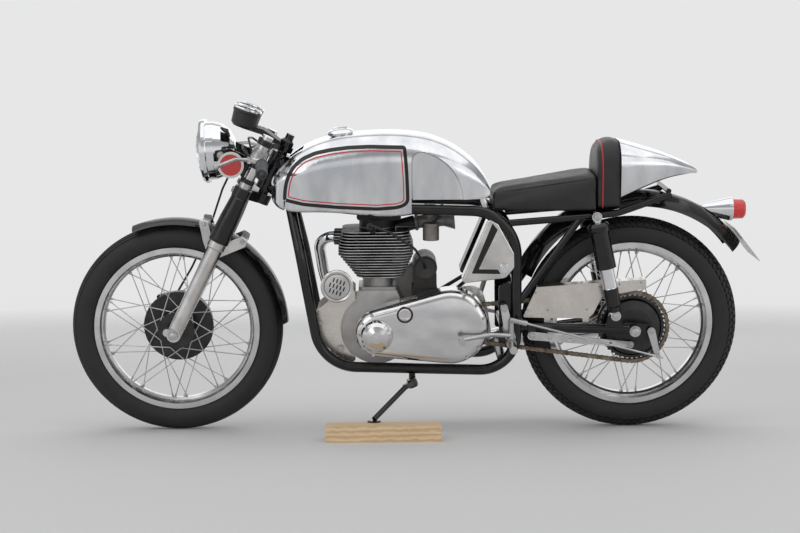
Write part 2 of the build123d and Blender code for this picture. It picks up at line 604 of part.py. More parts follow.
# Fuel tank: sections across the bike, from the nose to the seat
# x, half width, bottom, top, upper corner radius
tank_sections = [
    (-398, 92, 742, 806, 26),
    (-372, 122, 716, 838, 44),
    (-300, 138, 707, 892, 72),
    (-150, 140, 700, 932, 84),
    (10, 139, 696, 935, 84),
    (140, 128, 722, 900, 74),
    (222, 112, 734, 838, 48),
    (262, 94, 740, 776, 14),
]


def section(x, half, bottom, top, taper, low_r, high_r):
    """A section across the bike, as lines and arcs, narrower at the top."""
    points = [(-half, bottom), (half, bottom), (half - taper, top), (taper - half, top)]
    plane = Plane(origin=(x, 0, 0), x_dir=(0, 1, 0), z_dir=(1, 0, 0))
    radii = [low_r, low_r, high_r, high_r]
    return plane * make_face(FilletPolyline(*points, radius=radii, close=True))


tank = loft([section(x, half, low, top, 6, 12, corner) for x, half, low, top, corner in tank_sections])
# Room below for the frame's rails, the headstock and the top of the engine
tank -= Pos(-40, 0, 710) * Box(640, 256, 64)
tank -= Pos(-380, 0, 790) * Box(200, 96, 200)
for side in (-1, 1):
    corners = [(x, -side * y, z) for x, y, z in loop_corners[:4]]
    tank -= tube(corners, TUBE_R + 4, loop_bends[:2])
    tank -= rod((-312, side * 109, 566), (-372, side * 26, 852), TUBE_R + 4)
# The knee recesses: pressed in flat behind a straight front edge, with a rounded border
KNEE_X, KNEE_Z, KNEE_R, KNEE_FLOOR = 24, 735, 160, 116
knee_face = (Pos(KNEE_X, KNEE_Z) * Circle(KNEE_R)) & (Pos(KNEE_X + 150, KNEE_Z) * Rectangle(300, 400))
knee_face = fillet(knee_face.vertices().sort_by(Axis.Y)[-1], 30)
knee = fillet(across(knee_face, -220, -KNEE_FLOOR).edges().group_by(Axis.Y)[-1], 14)
tank -= knee
tank -= mirrored(knee)
keep("fuel_tank", tank)
cap_profile = [(0, 0), (31, 0), (33, 6), (33, 18), (26, 26), (0, 29)]
keep("filler_cap", turned(cap_profile, (-189, 0, 921), (-0.1, 0, 1)) - tank)

# Rear mudguard, with the room that it takes up under the seat
GUARD_X, GUARD_Z, GUARD_CROWN = 722, 352, 402
rear_guard = mudguard(GUARD_X, GUARD_Z, GUARD_CROWN, 358, 72, 37, 157, 2.2)
keep("rear_mudguard", rear_guard - rear_bridge)
guard_room = across(Pos(GUARD_X, GUARD_Z) * Circle(GUARD_CROWN + 3), -80, 80)

# Seat: pad, hump pad and polished tail
# x, half width, bottom, top
pad_sections = [(270, 96, 702, 788), (420, 112, 702, 811), (584, 122, 704, 838)]
hump_sections = [(584.5, 120, 708, 890), (604, 121, 708, 908), (655, 119, 712, 912)]
tail_sections = [(655.5, 117, 740, 909), (730, 104, 772, 887), (800, 82, 796, 864),
                 (868, 52, 808, 836), (900, 34, 806, 818)]
seat_pad = loft([section(*row, 10, 6, 22) for row in pad_sections])
hump = loft([section(*row, 14, 6, 78) for row in hump_sections])
tail_faces = []
for x, half, bottom, top in tail_sections:
    tail_faces.append(section(x, half, bottom, top, 0.14 * half, 5, min(0.45 * (top - bottom), 74)))
keep("seat_pad", seat_pad - guard_room)
keep("seat_hump", hump - guard_room)
keep("seat_tail", loft(tail_faces, ruled=True) - guard_room)

# Side boxes in the frame's triangle: tool box on the left, oil tank on the right
panel_face = outline([(172, 484), (310, 500), (338, 534), (336, 576), (286, 668), (256, 684),
                      (246, 660)], [10, 20, 20, 20, 14, 9, 9])
left_box = fillet(across(panel_face, -124, -62).edges().group_by(Axis.Y)[0], 5)
keep("side_panel", (left_box - left_loop) - nodes["cross_tubes"][0])
right_box = fillet(across(panel_face, 40, 124).edges().group_by(Axis.Y)[-1], 14)
keep("oil_tank", (right_box - right_loop) - nodes["cross_tubes"][0])

# Sparking plug with its lead to the magneto, the fuel pipe and the two oil pipes
plug_axis = Vector(-0.12, -0.93, 0.36)
plug_foot = Vector(-92, -66, 636)
plug = turned([(0, 0), (10, 0), (10, 24), (7, 26), (6.5, 58), (10, 60), (10, 86), (0, 88)], plug_foot,
              plug_axis)
plug_end = plug_foot + plug_axis.normalized() * 84
lead_route = [plug_end, plug_end + Vector(-6, -26, 12), (-40, -164, 650), (34, -140, 596),
              (60, -108, 548), (66, -72, 524)]
lead = tube(lead_route, 4, [16, 40, 50, 24])
fuel_route = [(118, -62, 720), (118, -66, 688), (84, -62, 660)]
fuel_pipe = tube(fuel_route, 4.5, [20])
keep("engine_pipes", (plug + lead) - head - nodes["magneto"][0], fuel_pipe - tank - carb)
for row in (0, 1):
    oil_route = [(206 + 26 * row, 96, 512), (200 + 26 * row, 104, 470),
                 (120 + 20 * row, 110, 420 - 24 * row), (40, 106, 372 - 30 * row),
                 (8, 96, 352 - 30 * row)]
    keep("engine_pipes", (tube(oil_route, 6, [24, 50, 60]) - crankcase) - right_box)

# Tail lamp and number plate
lamp_body = turned([(0, 0), (14, 0), (36, 88), (36, 98), (0, 98)], (918, 0, 690), (1, 0, 0))
keep("tail_lamp", lamp_body - across(Pos(GUARD_X, GUARD_Z) * Circle(GUARD_CROWN), -80, 80))
keep("tail_lens", turned([(0, 0), (31, 0), (30, 34), (24, 40), (0, 42)], (1016, 0, 690), (1, 0, 0)))
plate_plane = Plane(origin=(1050.5, 0, 590), x_dir=(0, 1, 0), z_dir=(0.788, 0, 0.616))
keep("number_plate", extrude(plate_plane * RectangleRounded(178, 128, 10), amount=2) - rear_guard)

# Rear-set footrests, with the brake pedal on the left and the gear pedal on the right
carrier_outline = [(292, 418), (312, 424), (340, 320), (336, 292), (314, 290), (306, 330)]
for side in (-1, 1):
    carrier = across(outline(carrier_outline, 7), side * 134 - 5, side * 134 + 5)
    carrier += rod((304, side * 96, 408), (304, side * 134, 408), 9)
    carrier += rod((330, side * 110, 304), (330, side * 134, 304), 9)
    carrier += rod((325, side * 139, 306), (325, side * 176, 306), 9)
    carrier += rod((325, side * 176, 306), (325, side * 250, 306), 12)
    loop = left_loop if side < 0 else right_loop
    carrier = (carrier - loop) - gussets
    keep("footrests", carrier)
    pedal = tube([(325, side * 158, 330), (262, side * 176, 338), (176, side * 206, 330)], 7, 60)
    pedal += rod((325, side * 158, 306), (325, side * 158, 372), 8)
    pedal += rod((325, side * 148, 306), (325, side * 168, 306), 15)
    pedal += rod((172, side * 196, 329), (172, side * 244, 329), 9)
    if side < 0:
        pedal += rod((330, -158, 378), (790, -146, 254), 3.2)
        pedal += rod((322, -158, 379), (372, -157, 366.6), 8)
        pedal += rod((776, -152, 258), (776, -134, 258), 6.5)
    keep("foot_pedals", pedal - carrier)

# Side stand, which turns on the lug's pin, and the block beneath its foot
lean_sin, lean_cos = math.sin(math.radians(LEAN)), math.cos(math.radians(LEAN))
TYRE_LIFT = FRONT_TYRE_HALF * (1 - lean_cos)
FOOT_GAP = 0.1
foot_x, foot_y = STAND_FOOT
foot_z = (BLOCK[2] + FOOT_GAP - TYRE_LIFT - foot_y * lean_sin) / lean_cos
foot = Vector(foot_x, foot_y, foot_z)
floor_up = Vector(0, lean_sin, lean_cos)
flat = (foot - pivot) - hinge * (foot - pivot).dot(hinge)
knee = pivot + flat.normalized() * 27
eye_face = make_hull(Circle(12).edges() + (Pos(27, 0) * Circle(9)).edges())
stand = extrude(Plane(origin=pivot, x_dir=flat, z_dir=hinge) * eye_face, amount=7.5, both=True)
stand += rod(knee, foot + floor_up * 9, 8)
stand += Plane(origin=foot, z_dir=floor_up) * Cylinder(
    20, 5, align=(Align.CENTER, Align.CENTER, Align.MIN))
stand -= extrude(lug_plane * Circle(5 + RUNNING_GAP), amount=30, both=True)
keep("side_stand", stand)

# Lean the bike over, with the origin under the middle of its box, and write each piece
lean = Pos(BASE_X, BASE_Y, TYRE_LIFT) * Rot(LEAN, 0, 0)
os.makedirs("parts", exist_ok=True)
for name, solids in nodes.items():
    export_step(Compound(children=[lean * solid for solid in solids]), f"parts/{name}.step")
timber = Pos(BASE_X + BLOCK_X, BASE_Y + BLOCK_Y, BLOCK[2] / 2) * Box(*BLOCK)
export_step(timber, "parts/timber_block.step")
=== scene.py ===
# %% [markdown]
# A cafe racer motorcycle leans on its side stand, whose foot rests on a timber block. The solid
# model already has every rigid shape at its real size. This lesson dresses it: it gives each
# surface the finish of the real thing and adds what is too fine or too soft for a solid model,
# such as tread, chain links, upholstery and painted lines.

# %% Load the frame
import math

import bmesh
import bpy
from mathutils import Matrix, Vector
from mathutils.bvhtree import BVHTree


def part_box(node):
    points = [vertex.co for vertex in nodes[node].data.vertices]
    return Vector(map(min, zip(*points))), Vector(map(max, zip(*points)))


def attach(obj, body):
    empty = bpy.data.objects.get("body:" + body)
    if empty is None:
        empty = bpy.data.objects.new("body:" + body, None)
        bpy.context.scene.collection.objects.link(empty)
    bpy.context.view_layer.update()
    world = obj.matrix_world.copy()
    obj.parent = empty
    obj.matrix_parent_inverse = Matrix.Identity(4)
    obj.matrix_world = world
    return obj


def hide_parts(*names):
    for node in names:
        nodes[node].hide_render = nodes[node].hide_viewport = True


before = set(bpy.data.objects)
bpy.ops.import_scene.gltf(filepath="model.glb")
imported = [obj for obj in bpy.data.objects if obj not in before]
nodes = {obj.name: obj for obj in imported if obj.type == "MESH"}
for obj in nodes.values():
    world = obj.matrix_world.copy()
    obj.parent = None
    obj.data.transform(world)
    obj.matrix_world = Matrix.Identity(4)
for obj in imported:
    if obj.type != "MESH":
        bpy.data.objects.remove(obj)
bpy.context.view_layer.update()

# %% [markdown]
# The motorcycle leans, which makes it hard to say where anything is. So each new piece is drawn
# upright in millimetres, with X to the rear from midway between the axles, Y to the right and Z up
# from the ground, and one matrix leans it over and turns it to metres. The matrix goes into the
# mesh itself, so that every finished object stays at the origin.

# %% Where things are
LEAN = math.radians(9.5)
RAKE = math.radians(26.5)
FRONT_TYRE_R, FRONT_TYRE_HALF = 328.0, 41.0
REAR_TYRE_R, REAR_TYRE_HALF = 335.0, 46.0
BASE = Vector((-29.0, 140.0, FRONT_TYRE_HALF * (1 - math.cos(LEAN))))
UPRIGHT_TO_ROW = (Matrix.Scale(0.001, 4) @ Matrix.Translation(BASE)
                  @ Matrix.Rotation(LEAN, 4, "X"))
ROW_TO_UPRIGHT = UPRIGHT_TO_ROW.inverted()
FRONT_AXLE = Vector((-705.0, 0.0, FRONT_TYRE_R))
REAR_AXLE = Vector((705.0, 0.0, REAR_TYRE_R))
ALONG_LEG = Vector((math.sin(RAKE), 0.0, math.cos(RAKE)))
BEHIND_LEG = Vector((math.cos(RAKE), 0.0, -math.sin(RAKE)))
ALONG_X, ALONG_Y, UP = Vector((1, 0, 0)), Vector((0, 1, 0)), Vector((0, 0, 1))
print("from axle to axle", (REAR_AXLE - FRONT_AXLE).length, "mm")


def leg_point(along, side=0.0, behind=0.0):
    """A point measured up the fork from the front axle, out to a side, and back."""
    return FRONT_AXLE + ALONG_LEG * along + BEHIND_LEG * behind + ALONG_Y * side


def linked(name, data):
    """A new object in the scene, at the origin."""
    made = bpy.data.objects.new(name, data)
    bpy.context.scene.collection.objects.link(made)
    return made


def facing(at, towards):
    """The matrix that stands a shape made about its own Z at a point, with Z pointing some way."""
    turn = Vector(towards).to_track_quat("Z", "Y").to_matrix().to_4x4()
    return Matrix.Translation(Vector(at)) @ turn


# %% [markdown]
# The photograph was taken from the left with a long lens, a little over half a metre off the
# ground. Matching the circles of both wheels gave the camera's place and its angles.

# %% Camera
PHOTO_WIDTH = 800
FOCAL_PIXELS = 1563.0
SENSOR_MM = 36.0
CAMERA_AT = (-0.0853, -4.804, 0.636)
YAW, PITCH, ROLL = math.radians(-0.54), math.radians(-1.5), math.radians(-0.38)
camera_data = bpy.data.cameras.new("camera")
camera_data.sensor_width = SENSOR_MM
camera_data.lens = FOCAL_PIXELS / PHOTO_WIDTH * SENSOR_MM
camera = linked("camera", camera_data)
camera.matrix_world = (Matrix.Translation(CAMERA_AT) @ Matrix.Rotation(YAW, 4, "Z")
                       @ Matrix.Rotation(math.pi / 2 + PITCH, 4, "X")
                       @ Matrix.Rotation(ROLL, 4, "Z"))
bpy.context.scene.camera = camera
bpy.context.scene.view_settings.view_transform = "Standard"
print("lens", round(camera_data.lens, 1), "mm")

# %% [markdown]
# Metal shows what it reflects, so the studio matters as much as the metal. The world is one
# gradient that everything sees, the camera, the metal and the glass alike: pale at the height of
# the eye, darker above that and a little brighter overhead. It gives polished parts a bright top
# edge over a darker shoulder. Four large weak lamps add a soft shadow and long highlights that stay
# below white.

# %% World and lamps
world = bpy.data.worlds.new("studio")
bpy.context.scene.world = world
world.use_nodes = True
sky = world.node_tree
sky.nodes.clear()
direction = sky.nodes.new("ShaderNodeTexCoord")
height = sky.nodes.new("ShaderNodeSeparateXYZ")
raise_height = sky.nodes.new("ShaderNodeMath")
raise_height.operation = "MULTIPLY_ADD"
raise_height.inputs[1].default_value = 0.5
raise_height.inputs[2].default_value = 0.5
shade = sky.nodes.new("ShaderNodeValToRGB")
# Half of one plus the sine of the height above the eye, and how bright the world is there
SKY_STOPS = [(0.0, 0.50), (0.42, 0.74), (0.50, 0.80), (0.57, 0.80), (0.66, 0.40), (0.76, 0.36),
             (0.87, 0.62), (1.0, 0.50)]
for index, (stop, level) in enumerate(SKY_STOPS):
    element = shade.color_ramp.elements[index] if index < 2 else shade.color_ramp.elements.new(stop)
    element.position = stop
    element.color = (level, level, level * 1.01, 1)
backdrop = sky.nodes.new("ShaderNodeBackground")
result = sky.nodes.new("ShaderNodeOutputWorld")
for source, target in [
    (direction.outputs["Generated"], height.inputs[0]),
    (height.outputs["Z"], raise_height.inputs[0]),
    (raise_height.outputs[0], shade.inputs[0]),
    (shade.outputs[0], backdrop.inputs["Color"]),
    (backdrop.outputs[0], result.inputs[0]),
]:
    sky.links.new(source, target)

# name, place, what it looks at, width, height, power
LAMPS = [
    ("overhead", (0.0, -0.3, 3.6), (0.0, 0.0, 0.4), 6.0, 4.0, 53),
    ("left_front", (-3.0, -3.9, 2.5), (-0.2, 0.0, 0.5), 4.0, 3.2, 39),
    ("left_rear", (3.4, -3.0, 2.2), (0.4, 0.0, 0.5), 3.2, 3.0, 22),
    ("behind", (0.4, 3.7, 2.5), (0.0, 0.0, 0.5), 5.0, 3.0, 34),
]
for name, place, target, width, tall, power in LAMPS:
    lamp = bpy.data.lights.new(name, "AREA")
    lamp.shape = "RECTANGLE"
    lamp.size, lamp.size_y, lamp.energy = width, tall, power
    linked(name, lamp).matrix_world = facing(place, Vector(place) - Vector(target))
print("lamps", [lamp[0] for lamp in LAMPS])

# %% [markdown]
# A material here is one Principled shader whose changing values come from procedural patterns. Two
# small classes keep the node work short. A value wraps a socket, so that patterns can be added and
# multiplied like numbers, and a finish adds any other node in one call.

# %% Shader helpers


class Value:
    """A shader socket that takes part in arithmetic: each operator adds one Math node."""

    def __init__(self, finish, socket):
        self.finish = finish
        self.socket = socket

    def maths(self, operation, *values):
        return self.finish.node("ShaderNodeMath", {"operation": operation},
                                dict(enumerate(values)))

    def __add__(self, other):
        return self.maths("ADD", self, other)

    def __radd__(self, other):
        return self.maths("ADD", other, self)

    def __sub__(self, other):
        return self.maths("SUBTRACT", self, other)

    def __rsub__(self, other):
        return self.maths("SUBTRACT", other, self)

    def __mul__(self, other):
        return self.maths("MULTIPLY", self, other)

    def __rmul__(self, other):
        return self.maths("MULTIPLY", other, self)


class Finish:
    """A material on one Principled shader, with a method that adds any node."""

    def __init__(self, name, colour, metallic=0.0, roughness=0.4, coat=0.0):
        self.material = bpy.data.materials.new(name)
        self.material.use_nodes = True
        self.tree = self.material.node_tree
        self.shader = self.tree.nodes["Principled BSDF"]
        self.shader.inputs["Base Color"].default_value = (*colour, 1)
        self.shader.inputs["Metallic"].default_value = metallic
        self.shader.inputs["Roughness"].default_value = roughness
        self.shader.inputs["Coat Weight"].default_value = coat
        self.place = self.node("ShaderNodeTexCoord", output="Object")

    def node(self, kind, settings=None, sockets=None, output=0):
        """Add a node: its settings first, then the values or links of its sockets."""
        added = self.tree.nodes.new(kind)
        for key, value in (settings or {}).items():
            if key == "stops":
                for index, (stop, level) in enumerate(value):
                    elements = added.color_ramp.elements
                    element = elements[index] if index < 2 else elements.new(stop)
                    element.position, element.color = stop, (level, level, level, 1)
            else:
                setattr(added, key, value)
        for key, value in (sockets or {}).items():
            if isinstance(value, Value):
                self.tree.links.new(value.socket, added.inputs[key])
            else:
                added.inputs[key].default_value = value
        return Value(self, added.outputs[output])

    def upright(self, axis):
        """The place along one axis of the upright drawing, in millimetres."""
        *slope, shift = ROW_TO_UPRIGHT[axis]
        along = self.node("ShaderNodeVectorMath", {"operation": "DOT_PRODUCT"},
                          {0: self.place, 1: slope}, 1)
        return along + shift

    def between(self, value, low, high):
        """1 where a value lies between two limits, 0 elsewhere."""
        return value.maths("GREATER_THAN", value, low) * value.maths("LESS_THAN", value, high)

    def noise(self, scale, detail=3.0, stretch=(1, 1, 1)):
        """Cloudy noise on the object's own coordinates, finer with a higher scale."""
        where = self.node("ShaderNodeMapping", {}, {"Vector": self.place, "Scale": stretch})
        return self.node("ShaderNodeTexNoise", {}, {"Vector": where, "Scale": scale,
                                                    "Detail": detail})

    def cells(self, scale, feature="F1", output="Distance"):
        """A cell pattern, as of grain in leather or sand in a casting."""
        return self.node("ShaderNodeTexVoronoi", {"feature": feature},
                         {"Vector": self.place, "Scale": scale}, output)

    def ramp(self, value, *stops):
        """A value turned through stops of position and level."""
        return self.node("ShaderNodeValToRGB", {"stops": stops}, {0: value})

    def patches(self, scale, detail, low, high):
        """Patches of dirt or wear: 0 below one level of a noise and 1 above another."""
        return self.ramp(self.noise(scale, detail), (low, 0.0), (high, 1.0))

    def mix(self, mask, first, second):
        """One colour over another, by a mask."""
        first, second = (colour if isinstance(colour, Value) else (*colour, 1)
                         for colour in (first, second))
        return self.node("ShaderNodeMix", {"data_type": "RGBA"}, {0: mask, 6: first, 7: second}, 2)

    def feed(self, socket, value):
        """Lead a value into one of the shader's sockets."""
        self.tree.links.new(value.socket, self.shader.inputs[socket])
        return self

    def bump(self, height, depth, strength=1.0):
        """Raise the surface by a pattern, with its depth in metres."""
        bumped = self.node("ShaderNodeBump", {}, {"Height": height, "Distance": depth,
                                                  "Strength": strength})
        return self.feed("Normal", bumped)


# %% [markdown]
# Polished alloy is never perfectly flat or clean: a hand-beaten tank has slow waves that bend what
# it mirrors, faint rubbing marks, and hazy patches where hands and fuel have been. So roughness and
# a very shallow bump both vary, each at its own scale.

# %% Bright metals


def bright_metal(name, colour, dull, roughness, haze, wave=0.0, streak=(1, 1, 1), beaten=(1, 1, 1),
                 dome=None):
    """A polished or brushed metal: haze roughens it in patches, wave bends what it mirrors."""
    finish = Finish(name, colour, metallic=1.0, roughness=roughness)
    patches = finish.noise(18.0, 3.0, beaten)
    rubbed = finish.noise(420.0, 2.0, streak)
    finish.feed("Roughness", roughness + haze * patches * rubbed)
    finish.feed("Base Color", finish.mix(finish.ramp(patches, (0.36, 0.0), (0.66, 1.0)),
                                         colour, dull))
    if wave:
        height = finish.noise(5.0, 1.0, beaten) * wave + 0.0001 * rubbed
        if dome:
            middle, half, rise = dome
            away = (finish.upright(2) - middle) * (1 / half)
            height = height + rise * (1 - away * away)
        finish.bump(height, 1.0)
    return finish.material


tank_alloy = bright_metal("tank_alloy", (0.81, 0.81, 0.82), (0.61, 0.63, 0.66), 0.07, 0.20, 0.012,
                          beaten=(1, 1, 0.35))
rim_alloy = bright_metal("rim_alloy", (0.76, 0.76, 0.76), (0.60, 0.60, 0.61), 0.13, 0.30)
# The middle of the case above the ground, half its height and how far its face bulges
CASE_DOME = (340, 110, 0.013)
case_alloy = bright_metal("case_alloy", (0.79, 0.79, 0.78), (0.62, 0.61, 0.62), 0.07, 0.22, 0.006,
                          beaten=(0.5, 1, 1), dome=CASE_DOME)
cover_alloy = bright_metal("cover_alloy", (0.78, 0.77, 0.75), (0.56, 0.55, 0.54), 0.07, 0.26, 0.008,
                           beaten=(0.5, 1, 1))
fork_alloy = bright_metal("fork_alloy", (0.72, 0.71, 0.70), (0.55, 0.54, 0.53), 0.13, 0.35, 0.002)
guard_alloy = bright_metal("guard_alloy", (0.74, 0.70, 0.66), (0.65, 0.61, 0.57), 0.20, 0.36, 0.004,
                           (0.06, 1, 1))
chrome = bright_metal("chrome", (0.82, 0.83, 0.84), (0.74, 0.75, 0.77), 0.03, 0.08)
steel = bright_metal("bright_steel", (0.60, 0.60, 0.60), (0.44, 0.44, 0.45), 0.20, 0.40)

# %% [markdown]
# A sand casting that has been cleaned but not polished is grey, with a fine sandy skin, which is a
# cell pattern with a slow noise for the dirt. The cylinder's fins have bare bright edges, so a
# sawtooth of the height above the ground paints each edge, and the barrel between the fins is
# painted near black as painted shade in the gaps; its foot is bare. The drums are painted black,
# apart from the bright lever on the rear one, which three pairs of limits pick out.

# %% Castings
# Scale and detail of the patches of dirt on cast and painted parts, and the levels they lie between
DIRT = (26.0, 5.0, 0.42, 0.72)
GRIT_SCALE = 1100.0


def casting(name, colour, dirt, metallic, roughness, depth):
    """A cast or blackened surface with a sandy skin and dirt in patches."""
    finish = Finish(name, colour, metallic=metallic, roughness=roughness)
    stain = finish.patches(*DIRT)
    finish.feed("Base Color", finish.mix(stain, colour, dirt))
    finish.feed("Roughness", roughness + 0.18 * stain)
    finish.bump(finish.cells(GRIT_SCALE) + 0.5 * finish.noise(300.0), depth)
    return finish.material


cast_alloy = casting("cast_alloy", (0.52, 0.51, 0.50), (0.44, 0.43, 0.41), 0.85, 0.32, 0.0004)
carburettor_zinc = casting("carburettor_zinc", (0.26, 0.25, 0.24), (0.16, 0.14, 0.12), 0.8, 0.38,
                           0.0004)
magneto_black = casting("magneto_black", (0.030, 0.030, 0.031), (0.06, 0.052, 0.045), 0.3, 0.40,
                        0.0003)

fins = Finish("fin_metal", (0.03, 0.03, 0.03), metallic=0.7, roughness=0.42)
FIRST_FIN, FIN_PITCH, LAST_FIN = 494.0, 8.8, 645.0
fin_height = fins.upright(2)
turns = fins.node("ShaderNodeMath", {"operation": "FRACT"},
                  {0: (fin_height - FIRST_FIN) * (1 / FIN_PITCH)})
on_edge = (fins.ramp(turns, (0.02, 0.0), (0.05, 1.0), (0.27, 1.0), (0.30, 0.0))
           * fins.between(fin_height, FIRST_FIN, LAST_FIN))
soot = fins.patches(*DIRT)
edge_tone = fins.mix(soot, (0.60, 0.60, 0.61), (0.32, 0.30, 0.28))
# Painted shade: the barrel between the fins is near black, for the shade in the gaps; below the
# first fin the foot is bare grey.
gap_shade_and_foot_tone = fins.mix(fins.between(fin_height, 0.0, FIRST_FIN - 4), (0.030, 0.029, 0.029),
                      (0.40, 0.39, 0.38))
fins.feed("Base Color", fins.mix(on_edge, gap_shade_and_foot_tone, edge_tone))
fins.feed("Roughness", 0.34 + 0.2 * soot)
fins.bump(fins.cells(GRIT_SCALE), 0.0003)
fin_metal = fins.material

drums = Finish("drum_black", (0.012, 0.012, 0.013), metallic=0.0, roughness=0.32)
LEVER_X, LEVER_Z, LEVER_Y = (743, 800), (245, 348), (-140, -126)
brake_dust = drums.patches(*DIRT)
on_lever = (drums.between(drums.upright(0), *LEVER_X) * drums.between(drums.upright(1), *LEVER_Y)
            * drums.between(drums.upright(2), *LEVER_Z))
drum_tone = drums.mix(brake_dust, (0.010, 0.010, 0.011), (0.034, 0.031, 0.028))
drums.feed("Base Color", drums.mix(on_lever, drum_tone, (0.60, 0.60, 0.60)))
drums.feed("Metallic", on_lever)
drums.feed("Roughness", 0.28 + 0.18 * brake_dust)
drum_black = drums.material

# %% [markdown]
# Stove enamel is deep black under a clear gloss, with a thin film of dust. Rubber is a warm dark
# grey and dull. Leathercloth has a pebbled grain of cells about a millimetre across, with a soft
# sheen where it is stretched.

# %% Enamel, rubber and leathercloth
enamel = Finish("black_enamel", (0.004, 0.004, 0.0045), roughness=0.16)
dust = enamel.patches(34.0, 4.0, 0.45, 0.8)
enamel.feed("Base Color", enamel.mix(dust, (0.004, 0.004, 0.0045), (0.014, 0.013, 0.012)))
enamel.feed("Roughness", 0.13 + 0.18 * dust)
black_enamel = enamel.material

rubber = Finish("tyre_rubber", (0.012, 0.012, 0.013), roughness=0.62)
scuff = rubber.patches(20.0, 5.0, 0.40, 0.78)
rubber.feed("Base Color", rubber.mix(scuff, (0.009, 0.009, 0.010), (0.026, 0.024, 0.022)))
rubber.feed("Roughness", 0.55 + 0.25 * scuff)
rubber.bump(rubber.noise(600.0), 0.0003)
tyre_rubber = rubber.material


def leathercloth(name, colour, roughness):
    """Coated cloth with a pebbled grain."""
    finish = Finish(name, colour, roughness=roughness)
    pale = tuple(level * 1.9 for level in colour)
    worn = finish.patches(18.0, 3.0, 0.40, 0.80)
    finish.feed("Base Color", finish.mix(worn, colour, pale))
    finish.feed("Roughness", roughness - 0.10 * worn)
    finish.bump(finish.cells(1000.0, "SMOOTH_F1") + 0.3 * finish.noise(90.0), 0.0006)
    return finish.material


seat_black = leathercloth("seat_black", (0.007, 0.007, 0.008), 0.44)
disc_red = Finish("disc_red", (0.50, 0.030, 0.028), roughness=0.35, coat=0.6).material
piping_red = Finish("piping_red", (0.42, 0.020, 0.022), roughness=0.42).material
line_black = Finish("line_black", (0.004, 0.004, 0.0045), roughness=0.30).material
line_red = Finish("line_red", (0.60, 0.030, 0.045), roughness=0.30).material
moulded_black = leathercloth("moulded_black", (0.010, 0.010, 0.011), 0.40)
grip_rubber = leathercloth("grip_rubber", (0.045, 0.047, 0.050), 0.45)

# %% [markdown]
# The lamp glass is clear and fluted on its inside, the tail lens is a red moulding that glows a
# little by itself, the chain is steel under brown oil, and the block is sawn pine whose yearly
# rings run along it.

# %% Glass, lens, chain and pine
glass = Finish("lamp_glass", (0.96, 0.98, 1.0), roughness=0.02)
glass.shader.inputs["Transmission Weight"].default_value = 1.0
glass.shader.inputs["IOR"].default_value = 1.45
FLUTE_SCALE = 70.0
flutes = glass.node("ShaderNodeTexWave", {"bands_direction": "X"},
                    {"Vector": glass.place, "Scale": FLUTE_SCALE})
glass.bump(flutes, 0.0012, 0.5)
lamp_glass = glass.material

lens = Finish("red_lens", (0.52, 0.014, 0.012), roughness=0.10, coat=0.8)
lens.bump(lens.cells(160.0, "DISTANCE_TO_EDGE"), 0.0008)
lens.shader.inputs["Emission Color"].default_value = (0.6, 0.01, 0.01, 1)
lens.shader.inputs["Emission Strength"].default_value = 0.12
red_lens = lens.material

oily = Finish("chain_steel", (0.21, 0.165, 0.125), metallic=0.85, roughness=0.40)
grime = oily.patches(60.0, 4.0, 0.35, 0.7)
oily.feed("Base Color", oily.mix(grime, (0.28, 0.23, 0.18), (0.09, 0.065, 0.045)))
oily.feed("Roughness", 0.32 + 0.25 * grime)
chain_steel = oily.material

pine = Finish("pine", (0.70, 0.50, 0.30), roughness=0.62)
rings = pine.node("ShaderNodeTexWave", {"bands_direction": "Y", "wave_type": "BANDS"},
                  {"Vector": pine.node("ShaderNodeMapping", {}, {
                      "Vector": pine.place, "Rotation": (0.5, 0.03, 0.02),
                      "Scale": (0.35, 1, 1)}),
                   "Scale": 42.0, "Distortion": 3.2, "Detail": 3.0, "Detail Scale": 2.2})
fibre = pine.noise(260.0, 4.0, (0.05, 1, 1))
pine_tone = pine.mix(rings * 0.75 + 0.25 * fibre, (0.78, 0.60, 0.39), (0.56, 0.36, 0.18))
pine.feed("Base Color", pine_tone)
pine.feed("Roughness", 0.55 + 0.2 * fibre)
pine.bump(fibre + 0.4 * rings, 0.0006)
pine_wood = pine.material

plate = Finish("plate_white", (0.62, 0.62, 0.58), roughness=0.35, coat=0.3)
plate.feed("Roughness", 0.28 + 0.2 * plate.noise(30.0))
plate_white = plate.material
print("materials", len(bpy.data.materials))

# %% [markdown]
# Most rigid solids keep their own mesh and only take a finish. The frame, arms and mudguards are
# enamel, the covers and tank are polished, and the cylinder is black.

# %% Finishes for the solid pieces
FINISHES = [
    (tank_alloy, ["fuel_tank", "seat_tail"]),
    (rim_alloy, ["front_rim", "rear_rim"]),
    (steel, ["front_spokes", "rear_spokes", "foot_pedals", "clip_ons"]),
    (fork_alloy, ["fork_legs", "torque_arm", "footrests"]),
    (chrome, ["headlamp_shell", "exhaust_header", "silencer", "filler_cap", "tail_lamp",
              "shock_absorbers"]),
    (case_alloy, ["primary_cover"]),
    (cover_alloy, ["side_panel"]),
    (guard_alloy, ["chain_guard", "engine_plates"]),
    (cast_alloy, ["gearbox", "crankcase"]),
    (carburettor_zinc, ["carburettor"]),
    (fin_metal, ["cylinder_barrel", "cylinder_head"]),
    (magneto_black, ["magneto"]),
    (drum_black, ["front_hub", "rear_hub", "front_brake_plate", "rear_brake_plate"]),
    (moulded_black, ["clocks", "horn", "brake_cable", "control_cables", "engine_pipes"]),
    (lamp_glass, ["headlamp_glass"]),
    (red_lens, ["tail_lens"]),
    (chain_steel, ["drive_chain"]),
    (plate_white, ["number_plate"]),
    (pine_wood, ["timber_block"]),
    (seat_black, ["seat_pad", "seat_hump"]),
    (tyre_rubber, ["front_tyre", "rear_tyre"]),
]
finish_of = {name: material for material, names in FINISHES for name in names}
for name, node in nodes.items():
    node.material_slots[0].material = finish_of.get(name, black_enamel)
print("enamelled", sorted(set(nodes) - set(finish_of)))

